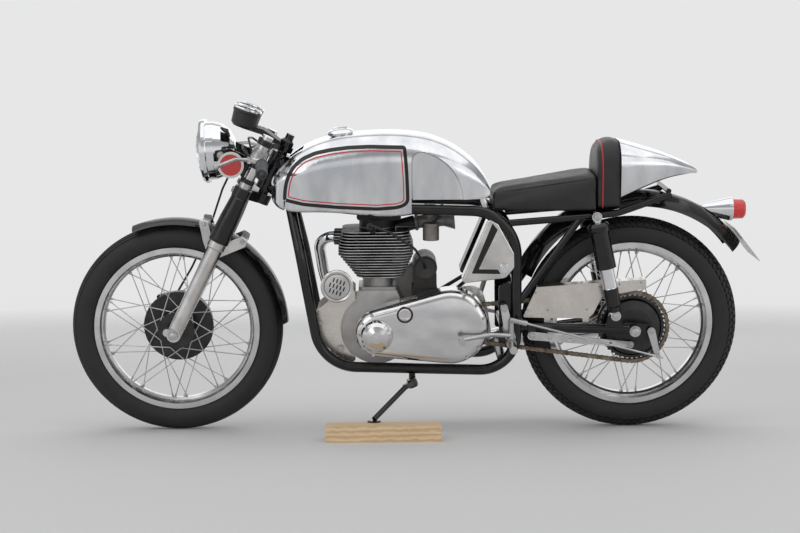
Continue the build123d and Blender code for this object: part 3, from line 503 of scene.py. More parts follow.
# %% [markdown]
# Every new piece goes through one helper. It leans the shape over into the row's frame, makes it an
# object at the origin, says which body it moves with, and shades it smooth except where two faces
# meet at a real edge.

# %% Piece helpers
SHARP = math.radians(32)


def add_piece(name, shape, body, material, sharp=SHARP, replaces=()):
    """Turn a bmesh drawn upright in millimetres into a finished piece that rides on a body."""
    shape.transform(UPRIGHT_TO_ROW)
    mesh = bpy.data.meshes.new(name)
    shape.to_mesh(mesh)
    shape.free()
    mesh.polygons.foreach_set("use_smooth", [True] * len(mesh.polygons))
    mesh.set_sharp_from_angle(angle=sharp)
    mesh.materials.append(material)
    piece = linked(name, mesh)
    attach(piece, body)
    if replaces:
        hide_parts(*replaces)
    print(name, len(mesh.polygons), "faces")


def spun(shape, profile, matrix, steps):
    """Spin a closed profile of radius and height round the local Z axis of a matrix."""
    before = set(shape.verts)
    corners = [shape.verts.new((radius, 0, along)) for radius, along in profile]
    edges = [shape.edges.new(pair) for pair in zip(corners, corners[1:] + corners[:1])]
    bmesh.ops.spin(shape, geom=corners + edges, cent=(0, 0, 0), axis=(0, 0, 1), dvec=(0, 0, 0),
                   angle=2 * math.pi, steps=steps, use_merge=True)
    made = set(shape.verts) - before
    bmesh.ops.transform(shape, matrix=matrix, verts=list(made))
    bmesh.ops.recalc_face_normals(shape, faces=[face for face in shape.faces
                                                if face.verts[0] in made])


def rod(shape, start, end, radius, segments=12, end_radius=None):
    """A round bar or cone between two points."""
    start, end = Vector(start), Vector(end)
    bmesh.ops.create_cone(shape, cap_ends=True, segments=segments, radius1=radius,
                          radius2=radius if end_radius is None else end_radius,
                          depth=(end - start).length, matrix=facing((start + end) / 2, end - start))


def ball(shape, at, radius, squash=1.0):
    """A small ball, flattened along Y if asked."""
    bmesh.ops.create_icosphere(shape, subdivisions=2, radius=radius,
                               matrix=Matrix.Translation(at) @ Matrix.Diagonal((1, squash, 1, 1)))


def block(shape, matrix, size):
    """A rectangular block about the middle of a matrix."""
    bmesh.ops.create_cube(shape, size=1.0, matrix=matrix @ Matrix.Diagonal((*size, 1)))


def hex_nut(shape, at, towards, across, thick):
    """A nut or bolt head with its washer, standing on a surface."""
    at, towards = Vector(at), Vector(towards).normalized()
    rod(shape, at - towards * 0.4, at + towards * 1.3, across * 0.72, 20)
    rod(shape, at + towards, at + towards * (1 + thick), across / math.sqrt(3), 6)
    rod(shape, at + towards * (1 + thick), at + towards * (2 + thick), across * 0.42, 12,
        across * 0.34)


# %% [markdown]
# A tyre is a profile spun about the axle. The front one is a ribbed pattern, so its grooves are in
# the profile itself. The rear one has separate blocks, which stand on a lower carcass and are made
# by repeating one small box round the wheel.

# %% Tyres
TYRE_STEPS = 144
# Angles in degrees from the middle of the tread, round the tyre's section
RIB_GROOVES = (-48, -33, -18, -6, 6, 18, 33, 48)
GROOVE_DEG, GROOVE_DEPTH = 1.9, 3.2
SIDE_STEPS = range(-128, 129, 4)
# Radius and width of the tyre's inside, from one bead to the other over the rim's well
BEAD = [(257.5, 27.4), (246, 27.4), (246, 18), (262, 14), (262, -14), (246, -18), (246, -27.4),
        (257.5, -27.4)]


def tyre_profile(radius, half, grooves, lower=0.0, tread_deg=0.0):
    """A tyre's section as radius and width, with grooves cut in or its tread's face lowered."""
    angles = [(angle, 0.0) for angle in SIDE_STEPS
              if all(abs(angle - groove) > GROOVE_DEG + 0.6 for groove in grooves)]
    for groove in grooves:
        angles += [(groove - GROOVE_DEG, 0.0), (groove - GROOVE_DEG * 0.7, GROOVE_DEPTH),
                   (groove + GROOVE_DEG * 0.7, GROOVE_DEPTH), (groove + GROOVE_DEG, 0.0)]
    profile = []
    for angle, depth in sorted(angles):
        size = half - depth - (lower if abs(angle) < tread_deg else 0.0)
        turn = math.radians(angle)
        profile.append((radius - half + size * math.cos(turn), size * math.sin(turn)))
    return profile + BEAD


front_tyre = bmesh.new()
spun(front_tyre, tyre_profile(FRONT_TYRE_R, FRONT_TYRE_HALF, RIB_GROOVES),
     facing(FRONT_AXLE, ALONG_Y), TYRE_STEPS)
add_piece("front_tyre_ribbed", front_tyre, "front_wheel", tyre_rubber,
          replaces=["front_tyre"])

TREAD_DEPTH, TREAD_DEG = 3.6, 66
BLOCKS_ROUND, BLOCK_TWIST = 92, math.radians(14)
# Angle across the tread, block length and width
BLOCK_ROWS = [(-55, 14, 12), (-36, 15, 12), (-18, 14, 11), (0, 12, 11), (18, 14, 11),
              (36, 15, 12), (55, 14, 12)]
rear_tyre = bmesh.new()
spun(rear_tyre, tyre_profile(REAR_TYRE_R, REAR_TYRE_HALF, (), TREAD_DEPTH, TREAD_DEG),
     facing(REAR_AXLE, ALONG_Y), TYRE_STEPS)
for row, (angle, long, wide) in enumerate(BLOCK_ROWS):
    stagger = 0.5 * (row % 2)
    to_tread = (Matrix.Translation((REAR_TYRE_R - REAR_TYRE_HALF, 0, 0))
                @ Matrix.Rotation(math.radians(angle), 4, "Z")
                @ Matrix.Translation((REAR_TYRE_HALF - TREAD_DEPTH, 0, 0))
                @ Matrix.Rotation(BLOCK_TWIST if row % 2 else -BLOCK_TWIST, 4, "X"))
    for index in range(BLOCKS_ROUND):
        turn = Matrix.Rotation(2 * math.pi * (index + stagger) / BLOCKS_ROUND, 4, "Y")
        block(rear_tyre, Matrix.Translation(REAR_AXLE) @ turn @ to_tread,
              (2 * TREAD_DEPTH, wide, long))
add_piece("rear_tyre_blocks", rear_tyre, "rear_wheel", tyre_rubber,
          replaces=["rear_tyre"])

# %% [markdown]
# Each spoke ends in a nipple, a small cone that stands out of the rim towards the hub. The spokes
# are laced tangentially, every other one leading, so the nipples take their directions from the
# same few numbers as the spokes do.

# %% Spoke nipples
SPOKE_BED_R, SPOKES_PER_SIDE, SPOKE_GAP = 226.0, 20, 2.1
NIPPLE_HEAD_R, NIPPLE_R, NIPPLE_TIP_R = 3.4, 3.0, 2.2
# Axle, hub radius, hub distance, rim distance, crossing angle, first angle, body
LACING = [
    (FRONT_AXLE, 56, -48, -4.5, 62, 4, "front_wheel"),
    (FRONT_AXLE, 108, 16, 4.5, 28, 13, "front_wheel"),
    (REAR_AXLE, 102, -24.5, -4.5, 28, 4, "rear_wheel"),
    (REAR_AXLE, 51, 49, 4.5, 60, 13, "rear_wheel"),
]
nipples = {"front_wheel": bmesh.new(), "rear_wheel": bmesh.new()}
for axle, hub_r, hub_y, rim_y, cross, first, body in LACING:
    for index in range(SPOKES_PER_SIDE):
        way = 1 if index % 2 else -1
        hub_angle = math.radians(first + index * 360.0 / SPOKES_PER_SIDE)
        rim_angle = hub_angle + math.radians(way * cross)
        near = axle + Vector((hub_r * math.cos(hub_angle), hub_y + way * SPOKE_GAP,
                              hub_r * math.sin(hub_angle)))
        far = axle + Vector((SPOKE_BED_R * math.cos(rim_angle), rim_y + way * SPOKE_GAP,
                             SPOKE_BED_R * math.sin(rim_angle)))
        reach = (far - near).normalized()
        rod(nipples[body], far + reach * 2, far - reach * 5, NIPPLE_HEAD_R, 8)
        rod(nipples[body], far - reach * 4.5, far - reach * 13, NIPPLE_R, 8, NIPPLE_TIP_R)
for body, shape in nipples.items():
    add_piece(f"{body}_nipples", shape, body, steel)

# %% [markdown]
# A roller chain is two kinds of link that take turns. The wide plates sit outside the narrow ones,
# and both are waisted. One plate is made from a circle that is stretched and pinched, and it is
# repeated at every pitch along the belt round the two sprockets. The wheel can turn while the chain
# stays, so the narrow plates stand just clear of the teeth on both sides.

# %% Drive chain
CHAIN_PITCH, CHAIN_Y = 15.875, -72.0
GEAR_AXLE = Vector((137.0, 0.0, 352.0))
GEAR_TEETH, WHEEL_TEETH = 19, 43
PLATE_HALF_HEIGHT, PLATE_THICK, PLATE_WAIST = 7.0, 1.7, 0.72
NARROW_HALF, WIDE_HALF = 4.2, 6.1
ROLLER_R, ROLLER_HALF, PIN_R, PIN_HALF = 5.0, 3.4, 2.4, 7.3
gear_r = CHAIN_PITCH / (2 * math.sin(math.pi / GEAR_TEETH))
rear_r = CHAIN_PITCH / (2 * math.sin(math.pi / WHEEL_TEETH))
span = REAR_AXLE - GEAR_AXLE
slope = math.atan2(span.z, span.x)
wrap = math.acos((gear_r - rear_r) / span.length)
straight = math.sqrt(span.length ** 2 - (rear_r - gear_r) ** 2)
arc_rear, arc_gear = rear_r * 2 * wrap, gear_r * (2 * math.pi - 2 * wrap)
chain_length = 2 * straight + arc_rear + arc_gear
link_count = 2 * round(chain_length / CHAIN_PITCH / 2)


def around(centre, radius, angle):
    """A point on a sprocket's pitch circle, in the chain's plane."""
    return centre + Vector((radius * math.cos(angle), CHAIN_Y, radius * math.sin(angle)))


def chain_point(distance):
    """The place on the chain's pitch line at some distance along it."""
    distance %= chain_length
    if distance < straight:
        return around(GEAR_AXLE, gear_r, slope + wrap).lerp(
            around(REAR_AXLE, rear_r, slope + wrap), distance / straight)
    distance -= straight
    if distance < arc_rear:
        return around(REAR_AXLE, rear_r, slope + wrap - distance / rear_r)
    distance -= arc_rear
    if distance < straight:
        return around(REAR_AXLE, rear_r, slope - wrap).lerp(
            around(GEAR_AXLE, gear_r, slope - wrap), distance / straight)
    distance -= straight
    return around(GEAR_AXLE, gear_r, slope - wrap - distance / gear_r)


plate_shape = bmesh.new()
bmesh.ops.create_circle(plate_shape, cap_ends=True, segments=16, radius=PLATE_HALF_HEIGHT)
for vert in plate_shape.verts:
    vert.co.x += math.copysign(CHAIN_PITCH / 2, vert.co.x) if abs(vert.co.x) > 1 else 0
    if abs(vert.co.x) < 1:
        vert.co.y *= PLATE_WAIST
lifted = bmesh.ops.extrude_face_region(plate_shape, geom=plate_shape.faces[:])
bmesh.ops.translate(plate_shape, vec=(0, 0, PLATE_THICK),
                    verts=[item for item in lifted["geom"] if isinstance(item, bmesh.types.BMVert)])
bmesh.ops.recalc_face_normals(plate_shape, faces=plate_shape.faces)
plate_mesh = bpy.data.meshes.new("chain_plate")
plate_shape.to_mesh(plate_mesh)
plate_shape.free()
chain = bmesh.new()
for link in range(link_count):
    here = chain_point(link * chain_length / link_count)
    there = chain_point((link + 1) * chain_length / link_count)
    along = (there - here).normalized()
    upright = along.cross(ALONG_Y)
    offset = WIDE_HALF if link % 2 else NARROW_HALF
    for side in (-1, 1):
        turn = Matrix((along, upright, ALONG_Y * -1)).transposed().to_4x4()
        at = (here + there) / 2 + ALONG_Y * (side * offset + PLATE_THICK / 2)
        placed = plate_mesh.copy()
        placed.transform(Matrix.Translation(at) @ turn)
        chain.from_mesh(placed)
        bpy.data.meshes.remove(placed)
    rod(chain, here - ALONG_Y * ROLLER_HALF, here + ALONG_Y * ROLLER_HALF, ROLLER_R, 10)
    rod(chain, here - ALONG_Y * PIN_HALF, here + ALONG_Y * PIN_HALF, PIN_R, 8)
print("chain of", link_count, "links")
add_piece("roller_chain", chain, "frame", chain_steel, replaces=["drive_chain"])

# %% [markdown]
# Painted lines on a curved tank must lie on its surface. The outline is drawn flat on the bike's
# side plane, one inset brings it to the line's outer edge, a vertex bevel rounds its corners, and a
# second inset leaves a thin band. The band is cut into short pieces, and each point is then moved
# sideways until it meets the tank.

# %% Surface helpers
# How far out a ray starts, and how far a painted line stands off its surface
RAY_START, LINE_LIFT = 400, 0.5


def surface_of(piece):
    """A piece's surface, upright in millimetres, for casting rays at."""
    shape = bmesh.new()
    shape.from_mesh(piece.data)
    shape.transform(ROW_TO_UPRIGHT)
    tree = BVHTree.FromBMesh(shape)
    shape.free()
    return tree


def band_on(shape, surface, outline, corner, inset, width, side, grid):
    """Add a painted band inside an outline, on one side of a solid. A width of 0 fills it."""
    flat = bmesh.new()
    flat.faces.new([flat.verts.new((x, 0, z)) for x, z in outline])
    flat.normal_update()
    if inset:
        rim = bmesh.ops.inset_region(flat, faces=flat.faces[:], thickness=inset,
                                     use_boundary=True, use_even_offset=True)
        bmesh.ops.delete(flat, geom=rim["faces"], context="FACES")
    bmesh.ops.bevel(flat, geom=flat.verts[:], offset=corner, segments=7, profile=0.5,
                    affect="VERTICES", material=-1, clamp_overlap=True)
    if width:
        centre = flat.faces[:]
        bmesh.ops.inset_region(flat, faces=centre, thickness=width, use_boundary=True,
                               use_even_offset=True)
        bmesh.ops.delete(flat, geom=centre, context="FACES")
    low = Vector([min(v.co[axis] for v in flat.verts) for axis in range(3)])
    high = Vector([max(v.co[axis] for v in flat.verts) for axis in range(3)])
    for axis, normal in ((0, ALONG_X), (2, UP)):
        cut = low[axis] + grid
        while cut < high[axis]:
            bmesh.ops.bisect_plane(flat, geom=flat.verts[:] + flat.edges[:] + flat.faces[:],
                                   plane_co=normal * cut, plane_no=normal)
            cut += grid
    strays = []
    for vert in flat.verts:
        start = Vector((vert.co.x, side * RAY_START, vert.co.z))
        place, normal, *_ = surface.ray_cast(start, ALONG_Y * -side)
        if place is None:
            strays.append(vert)
        else:
            vert.co = place + normal * LINE_LIFT
    bmesh.ops.delete(flat, geom=strays, context="VERTS")
    bmesh.ops.recalc_face_normals(flat, faces=flat.faces[:])
    joined = bpy.data.meshes.new("band")
    flat.to_mesh(joined)
    flat.free()
    shape.from_mesh(joined)
    bpy.data.meshes.remove(joined)


# %% Tank lines
tank_surface = surface_of(nodes["fuel_tank"])
# Places of x and z round the outline
PANEL = [(-362, 742), (-361, 770), (-356, 799), (-346, 827), (-329, 852), (-303, 873), (-266, 889),
         (-220, 899), (-165, 906), (-99, 909), (8, 906), (13, 855), (16, 805), (18, 740), (6, 725),
         (-20, 717), (-80, 713), (-200, 719), (-300, 728)]
# Name, inset from the outline, width, corner, material
TANK_LINES = [("tank_line_black", 0.0, 10.5, 12, line_black),
              ("tank_line_red", 15.0, 3.4, 8, line_red)]
for name, inset, width, corner, material in TANK_LINES:
    lines = bmesh.new()
    for side in (-1, 1):
        band_on(lines, tank_surface, PANEL, corner, inset, width, side, 9.0)
    add_piece(name, lines, "frame", material, sharp=math.pi)

# %% [markdown]
# The seat is foam under leathercloth. It starts as the plain solid, whose top is brought down to
# the pad's own edge. It gets an even net of small faces from a voxel remesh. It is then blown up a
# little as cloth with its underside held, which rounds its edges and lets the top crown. The
# swelling is capped so that it stays in its place.

# %% Seat pad
VOXEL, CLOTH_FRAMES = 0.006, 20
PAD_FLOOR, HELD_BELOW, HELD_REAR = 704.0, 14.0, 8.0
# Place along the seat, height of the solid's top and height of the finished pad's edge
PAD_TOPS = [(270, 788, 763), (584, 838, 812)]


def apply_modifiers(piece):
    """Replace a piece's mesh with what its modifiers make of it."""
    bpy.context.view_layer.update()
    seen = piece.evaluated_get(bpy.context.evaluated_depsgraph_get())
    made = bpy.data.meshes.new_from_object(seen)
    piece.modifiers.clear()
    piece.data = made


def lower_top(shape, tops):
    """Bring a solid's sloping top down to the finished pad's edge, and its sides in proportion."""
    (front, front_top, front_edge), (rear, rear_top, rear_edge) = tops
    shape.transform(ROW_TO_UPRIGHT)
    for vert in shape.verts:
        share = (vert.co.x - front) / (rear - front)
        top = front_top + share * (rear_top - front_top)
        edge = front_edge + share * (rear_edge - front_edge)
        if vert.co.z > PAD_FLOOR:
            squash = (edge - PAD_FLOOR) / (top - PAD_FLOOR)
            vert.co.z = PAD_FLOOR + (vert.co.z - PAD_FLOOR) * squash
    shape.transform(UPRIGHT_TO_ROW)


def blow_up(pad, pressure, swell):
    """Swell a pad as cloth, with its underside and rear end held, and cap how far it moves."""
    start = [vert.co.copy() for vert in pad.data.vertices]
    held = pad.vertex_groups.new(name="held")
    places = [ROW_TO_UPRIGHT @ co for co in start]
    floor, end = min(place.z for place in places), max(place.x for place in places)
    held.add([index for index, place in enumerate(places)
              if place.z < floor + HELD_BELOW or place.x > end - HELD_REAR], 1.0, "REPLACE")
    cloth = pad.modifiers.new("cloth", "CLOTH")
    cloth.settings.use_pressure = True
    cloth.settings.uniform_pressure_force = pressure
    cloth.settings.effector_weights.gravity = 0.0
    cloth.settings.vertex_group_mass = "held"
    cloth.settings.quality = 5
    cloth.point_cache.frame_start, cloth.point_cache.frame_end = 1, CLOTH_FRAMES
    for step in range(1, CLOTH_FRAMES + 1):
        bpy.context.scene.frame_set(step)
    apply_modifiers(pad)
    for vert, rest in zip(pad.data.vertices, start):
        moved = vert.co - rest
        if moved.length > swell:
            vert.co = rest + moved.normalized() * swell
    bpy.context.scene.frame_set(1)


def padded_copy(name, node, shrink, pressure, swell, tops=None):
    """A pad made from a plain solid: shrunk, remeshed, blown up as cloth and smoothed."""
    shape = bmesh.new()
    shape.from_mesh(nodes[node].data)
    bmesh.ops.remove_doubles(shape, verts=shape.verts, dist=1e-5)
    if tops:
        lower_top(shape, tops)
    low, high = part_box(node)
    bmesh.ops.scale(shape, vec=shrink, space=Matrix.Translation((low + high) / -2),
                    verts=shape.verts)
    mesh = bpy.data.meshes.new(name)
    shape.to_mesh(mesh)
    shape.free()
    pad = linked(name, mesh)
    remesh = pad.modifiers.new("even", "REMESH")
    remesh.mode, remesh.voxel_size = "VOXEL", VOXEL
    apply_modifiers(pad)
    blow_up(pad, pressure, swell)
    smooth = pad.modifiers.new("smooth", "CORRECTIVE_SMOOTH")
    smooth.iterations, smooth.use_only_smooth = 4, True
    finer = pad.modifiers.new("finer", "SUBSURF")
    finer.levels = finer.render_levels = 1
    apply_modifiers(pad)
    pad.data.polygons.foreach_set("use_smooth", [True] * len(pad.data.polygons))
    pad.data.materials.append(seat_black)
    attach(pad, "frame")
    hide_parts(node)
    print(name, len(pad.data.polygons), "faces")
    return pad


seat = padded_copy("seat_cushion", "seat_pad", (0.995, 0.955, 0.99), 2.5, 0.005, PAD_TOPS)
hump = padded_copy("hump_cushion", "seat_hump", (0.975, 0.975, 0.965), 0.5, 0.0015)

# %% [markdown]
# Red piping runs over the hump, black piping covers the seam where it meets the polished tail, and
# a black seam runs along each side of the seat. Each one follows its cushion: rays are cast inwards
# at it, and the points where they meet it become a curve with a round bevel.

# %% Piping


def cord_piece(name, points, radius, material):
    """A thin round piping through points given upright in millimetres."""
    curve = bpy.data.curves.new(name, "CURVE")
    curve.dimensions = "3D"
    curve.bevel_depth, curve.bevel_resolution, curve.resolution_u = radius / 1000, 3, 4
    spline = curve.splines.new("NURBS")
    spline.points.add(len(points) - 1)
    for point, where in zip(spline.points, points):
        point.co = (*(UPRIGHT_TO_ROW @ Vector(where)), 1)
    spline.order_u, spline.use_endpoint_u = 3, True
    curve.use_fill_caps = True
    curve.materials.append(material)
    piece = linked(name, curve)
    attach(piece, "frame")


RING_MIDDLE, RING_DEGREES, PIPING_LIFT, SEAM_LIFT = 800, range(-38, 219, 4), 0.8, 0.6
hump_surface = surface_of(hump)
# Name, place along the bike, radius, material
PIPING = [("piping_front", 601.0, 2.4, piping_red), ("piping_rear", 652.0, 1.8, seat_black)]
for name, x, radius, material in PIPING:
    ring = []
    for degrees in RING_DEGREES:
        out = Vector((0, math.cos(math.radians(degrees)), math.sin(math.radians(degrees))))
        met = hump_surface.ray_cast(Vector((x, 0, RING_MIDDLE)) + out * RAY_START, -out)[0]
        if met is not None:
            ring.append(met + out * PIPING_LIFT)
    cord_piece(name, ring, radius, material)

seat_surface = surface_of(seat)
# Places of x and z along the seam
SEAM_ROWS = [(277, 756), (330, 764), (400, 775), (470, 786), (540, 797), (579, 803)]
for side, word in ((-1, "left"), (1, "right")):
    seam = []
    for x, z in SEAM_ROWS:
        met = seat_surface.ray_cast(Vector((x, side * RAY_START, z)), ALONG_Y * -side)[0]
        if met is not None:
            seam.append(met + ALONG_Y * side * SEAM_LIFT)
    cord_piece(f"seat_seam_{word}", seam, 1.7, seat_black)

# %% [markdown]
# The headlamp's glass is clear, so a bulb shows behind it, in the bright bowl of the shell. The two
# instruments have black faces with plain pale ticks round the edge, a needle, and a chromed ring.

# %% Headlamp and instruments
LAMP_BACK = Vector((-510, 0, 886))
LAMP_AXIS = Vector((-0.9976, 0, -0.07)).normalized()
LAMP_BOLT = Vector((-548, 101, 879))
lamp_parts = bmesh.new()
rod(lamp_parts, LAMP_BACK + LAMP_AXIS * 12, LAMP_BACK + LAMP_AXIS * 62, 9, 16, 6)
ball(lamp_parts, LAMP_BACK + LAMP_AXIS * 66, 9)
for side in (-1, 1):
    hex_nut(lamp_parts, LAMP_BOLT * Vector((1, side, 1)), ALONG_Y * side, 15, 7)
add_piece("headlamp_bulb", lamp_parts, "steering", steel)

CLOCK_FOOT, CLOCK_SIDE = Vector((-485, 0, 958)), 48
CLOCK_AXIS = Vector((0.316, 0, 0.949)).normalized()
CLOCK_RING = [(37, 54), (43.4, 54), (44.2, 57), (42.5, 60), (37.5, 58.5)]
TICK_DEGREES, NEEDLE_DEGREES = range(-140, 141, 28), -138
# Place above the foot and size of a tick and of the needle, across, along and up
TICK_AT, TICK_SIZE = (0, 31, 54.7), (1.6, 7.0, 0.6)
NEEDLE_AT, NEEDLE_SIZE = (0, 10, 55.6), (1.4, 34.0, 0.6)
bezels, faces_black, ticks = bmesh.new(), bmesh.new(), bmesh.new()
for side in (-1, 1):
    foot = CLOCK_FOOT + ALONG_Y * side * CLOCK_SIDE
    stand = facing(foot, CLOCK_AXIS)
    spun(bezels, CLOCK_RING, stand, 64)
    rod(faces_black, foot + CLOCK_AXIS * 53.2, foot + CLOCK_AXIS * 54.4, 37, 48)
    for degrees in TICK_DEGREES:
        block(ticks, stand @ Matrix.Rotation(math.radians(degrees), 4, "Z")
              @ Matrix.Translation(TICK_AT), TICK_SIZE)
    block(ticks, stand @ Matrix.Rotation(math.radians(NEEDLE_DEGREES), 4, "Z")
          @ Matrix.Translation(NEEDLE_AT), NEEDLE_SIZE)
    rod(ticks, foot + CLOCK_AXIS * 54.5, foot + CLOCK_AXIS * 57, 4, 16)
add_piece("clock_rings", bezels, "steering", chrome)
add_piece("clock_faces", faces_black, "steering", line_black)
add_piece("clock_ticks", ticks, "steering", plate_white)

# %% [markdown]
# Rubber grips are ribbed all round, which is a profile with small teeth spun about the bar. Each
# ends in a dark ring round the open bar.

# %% Grips
BAR_ROOT, BAR_END, BAR_R = Vector((-424, 96, 876)), Vector((-408, 338, 850)), 11.3
GRIP_LONG, GRIP_R, GRIP_RIBS = 118.0, 17.2, 16
# Radius and distance along the bar: the collar, one rib after its start, the rounded end
COLLAR = [(BAR_R, 2), (GRIP_R + 2.5, 2), (GRIP_R + 2.5, 6)]
RIB = [(GRIP_R - 0.9, 0), (GRIP_R + 0.3, 1.5), (GRIP_R + 0.3, 4.6)]
GRIP_END = [(GRIP_R, GRIP_LONG - 3), (GRIP_R - 2, GRIP_LONG), (BAR_R, GRIP_LONG)]
BAR_RING = [(8.2, -3), (16.2, -3), (16.2, 3), (13, 7), (8.2, 7)]
ribs = [(radius, 8 + rib * (GRIP_LONG - 14) / GRIP_RIBS + along)
        for rib in range(GRIP_RIBS) for radius, along in RIB]
grips, plugs = bmesh.new(), bmesh.new()
for side in (-1, 1):
    root, end = (place * Vector((1, side, 1)) for place in (BAR_ROOT, BAR_END))
    bar = (end - root).normalized()
    spun(grips, COLLAR + ribs + GRIP_END, facing(end - bar * (GRIP_LONG + 2), bar), 32)
    spun(plugs, BAR_RING, facing(end - bar * 3, bar), 32)
add_piece("grip_rubbers", grips, "steering", grip_rubber)
add_piece("bar_end_plugs", plugs, "steering", magneto_black)

# %% [markdown]
# Nuts and bolt heads tell how the machine is put together. Each one is a washer, a six-sided
# cylinder and a short end of thread, and one table says where they sit, which way they face and how
# large they are.

# %% Fasteners
BOTH_SIDES, LEFT_SIDE = (-1, 1), (-1,)
# Body, place on the right side, width across flats, thickness, sides
NUTS = [
    ("steering", FRONT_AXLE + ALONG_Y * 121, 24, 10, BOTH_SIDES),
    ("steering", (-608, 67, 664), 12, 5, BOTH_SIDES),
    ("steering", (-492, 67, 607), 12, 5, BOTH_SIDES),
    ("frame", REAR_AXLE + ALONG_Y * 136, 24, 11, BOTH_SIDES),
    ("frame", (315, 118, 345), 22, 9, BOTH_SIDES),
    ("frame", (579, 158, 692), 19, 8, BOTH_SIDES),
    ("frame", (642, 158, 388), 19, 8, BOTH_SIDES),
    ("frame", (304, 139, 408), 15, 6, BOTH_SIDES),
    ("frame", (330, 139, 304), 15, 6, BOTH_SIDES),
    ("frame", (-262, 76, 352), 15, 6, BOTH_SIDES),
    ("frame", (-196, 76, 272), 15, 6, BOTH_SIDES),
    ("frame", (-176, 76, 438), 15, 6, BOTH_SIDES),
    ("frame", (392, 110, 316), 15, 6, LEFT_SIDE),
    ("frame", (696, 107, 286), 15, 6, LEFT_SIDE),
    ("frame", (755, 134, 334), 13, 6, LEFT_SIDE),
]
# How far up the fork the mudguard lugs' bolts sit, and how far out and behind its axis
LUG_BOLTS, LUG_SIDE, LUG_BEHIND = (482, 490), 95, -27
nuts = {"steering": bmesh.new(), "frame": bmesh.new()}
for body, (x, y, z), across, thick, sides in NUTS:
    for side in sides:
        hex_nut(nuts[body], (x, side * y, z), ALONG_Y * side, across, thick)
for side in BOTH_SIDES:
    for along in LUG_BOLTS:
        hex_nut(nuts["steering"], leg_point(along, side * LUG_SIDE, LUG_BEHIND), -BEHIND_LEG, 9, 4)
for body, shape in nuts.items():
    add_piece(f"{body}_nuts", shape, body, steel)

# %% [markdown]
# The polished case that covers the primary chain is held by screws round both ends of its rim, with
# three more in the domed cap. The chain guard has rivets with low round heads.

# %% Cover screws
# Arcs of screws: centre, radius, first and last angle, number, then each screw's height, radius,
# sides and tip radius
SCREW_ARCS = [((-74, -165.2, 337), 66, 112, 252, 5, 3.4, 5.4, 16, 4.6),
              ((141, -165.2, 356), 106, -62, 68, 6, 3.4, 5.4, 16, 4.6),
              ((-83, -176, 334), 44, 90, 330, 3, 6, 4.2, 14, 3.6)]
# Places of x and z
RIVETS = [(380, 398), (402, 452), (560, 398), (440, 398), (596, 470), (660, 476), (725, 482)]
RIVET_Y = -103.5
screws = bmesh.new()
for centre, arc, from_deg, to_deg, count, tall, radius, sides, tip_radius in SCREW_ARCS:
    for index in range(count):
        turn = math.radians(from_deg + (to_deg - from_deg) * index / (count - 1))
        at = Vector(centre) + arc * (ALONG_X * math.cos(turn) + UP * math.sin(turn))
        rod(screws, at, at - ALONG_Y * tall, radius, sides, tip_radius)
for x, z in RIVETS:
    ball(screws, (x, RIVET_Y, z), 4.2, 0.5)
add_piece("cover_screws", screws, "frame", steel)

# %% [markdown]
# The horn's face is a pressed disc with a raised ring and slots; each slot is a black block on the
# face, painted shade for the dark opening. The left side panel is polished, with a black stripe
# along two sides of its rounded triangle, and a round fastener near its rear corner.

# %% Horn face and side panel
HORN_AT, HORN_TURN = Vector((-203, -132, 480)), math.radians(-20)
HORN_RING = [(40, -4), (49.5, -4), (50, 1), (46, 4), (40, 2)]
HORN_DISC = [(0.1, 0), (38, 0), (38, 2.5), (30, 4), (0.1, 5)]
# Height of a row of slots and how many it has
HORN_ROWS = [(17, 4), (0, 5), (-17, 4)]
SLOT_PITCH, SLOT_LIFT, SLOT_SIZE = 11, 4.4, (4.0, 13.0, 2.4)
horn, slot_shade = bmesh.new(), bmesh.new()
horn_matrix = facing(HORN_AT, -ALONG_Y)
spun(horn, HORN_RING, horn_matrix, 48)
spun(horn, HORN_DISC, horn_matrix, 48)
for height, count in HORN_ROWS:
    for index in range(count):
        across = (index - (count - 1) / 2) * SLOT_PITCH
        block(slot_shade, horn_matrix @ Matrix.Rotation(HORN_TURN, 4, "Z")
              @ Matrix.Translation((across, height, SLOT_LIFT)), SLOT_SIZE)
# Painted shade: black blocks stand for the dark openings of the horn's slots.
add_piece("horn_slot_shade", slot_shade, "frame", line_black)
add_piece("horn_face", horn, "frame", fork_alloy)

panel_surface = surface_of(nodes["side_panel"])
# Places of x and z round the stripe
SIDE_STRIPE = [(268, 670), (206, 516), (294, 514), (285, 528), (227, 529), (284, 650)]
FASTENER_AT = Vector((304, -122, 532))
border = bmesh.new()
band_on(border, panel_surface, SIDE_STRIPE, 1.5, 0.0, 0.0, -1, 12.0)
add_piece("side_panel_stripe", border, "frame", line_black, sharp=math.pi)
fastener = bmesh.new()
rod(fastener, FASTENER_AT, FASTENER_AT - ALONG_Y * 8, 15, 32, 13)
rod(fastener, FASTENER_AT - ALONG_Y * 7, FASTENER_AT - ALONG_Y * 12, 8, 24, 7)
add_piece("side_panel_fastener", fastener, "frame", chrome)

# %% [markdown]
# The tail behind the seat is beaten from one sheet, so no line runs across it. The solid has
# straight strips between a few sections. Here a smooth curve through the same sections gives many
# more, each one a square whose corners are rounded by a vertex bevel, and each is bridged to the
# next.

# %% Tail
# Place, half width, bottom, top
TAIL_SECTIONS = [(655.6, 116.8, 740, 909), (730, 104, 772, 887), (800, 82, 796, 864),
                 (868, 52, 806, 836), (896, 32, 806, 820), (905, 14, 808, 814)]
TAIL_STEPS, TAIL_BELOW, TAIL_CROWN = 6, 0.14, 0.45


def smooth_row(rows, index, share):
    """A row between two rows of a table, on a smooth curve through all of them."""
    before, first, second, after = (Vector(rows[min(max(index + step, 0), len(rows) - 1)])
                                    for step in (-1, 0, 1, 2))
    return (first + share * 0.5 * (second - before)
            + share ** 2 * (before - 2.5 * first + 2 * second - 0.5 * after)
            + share ** 3 * (1.5 * first - 1.5 * second + 0.5 * after - 0.5 * before))


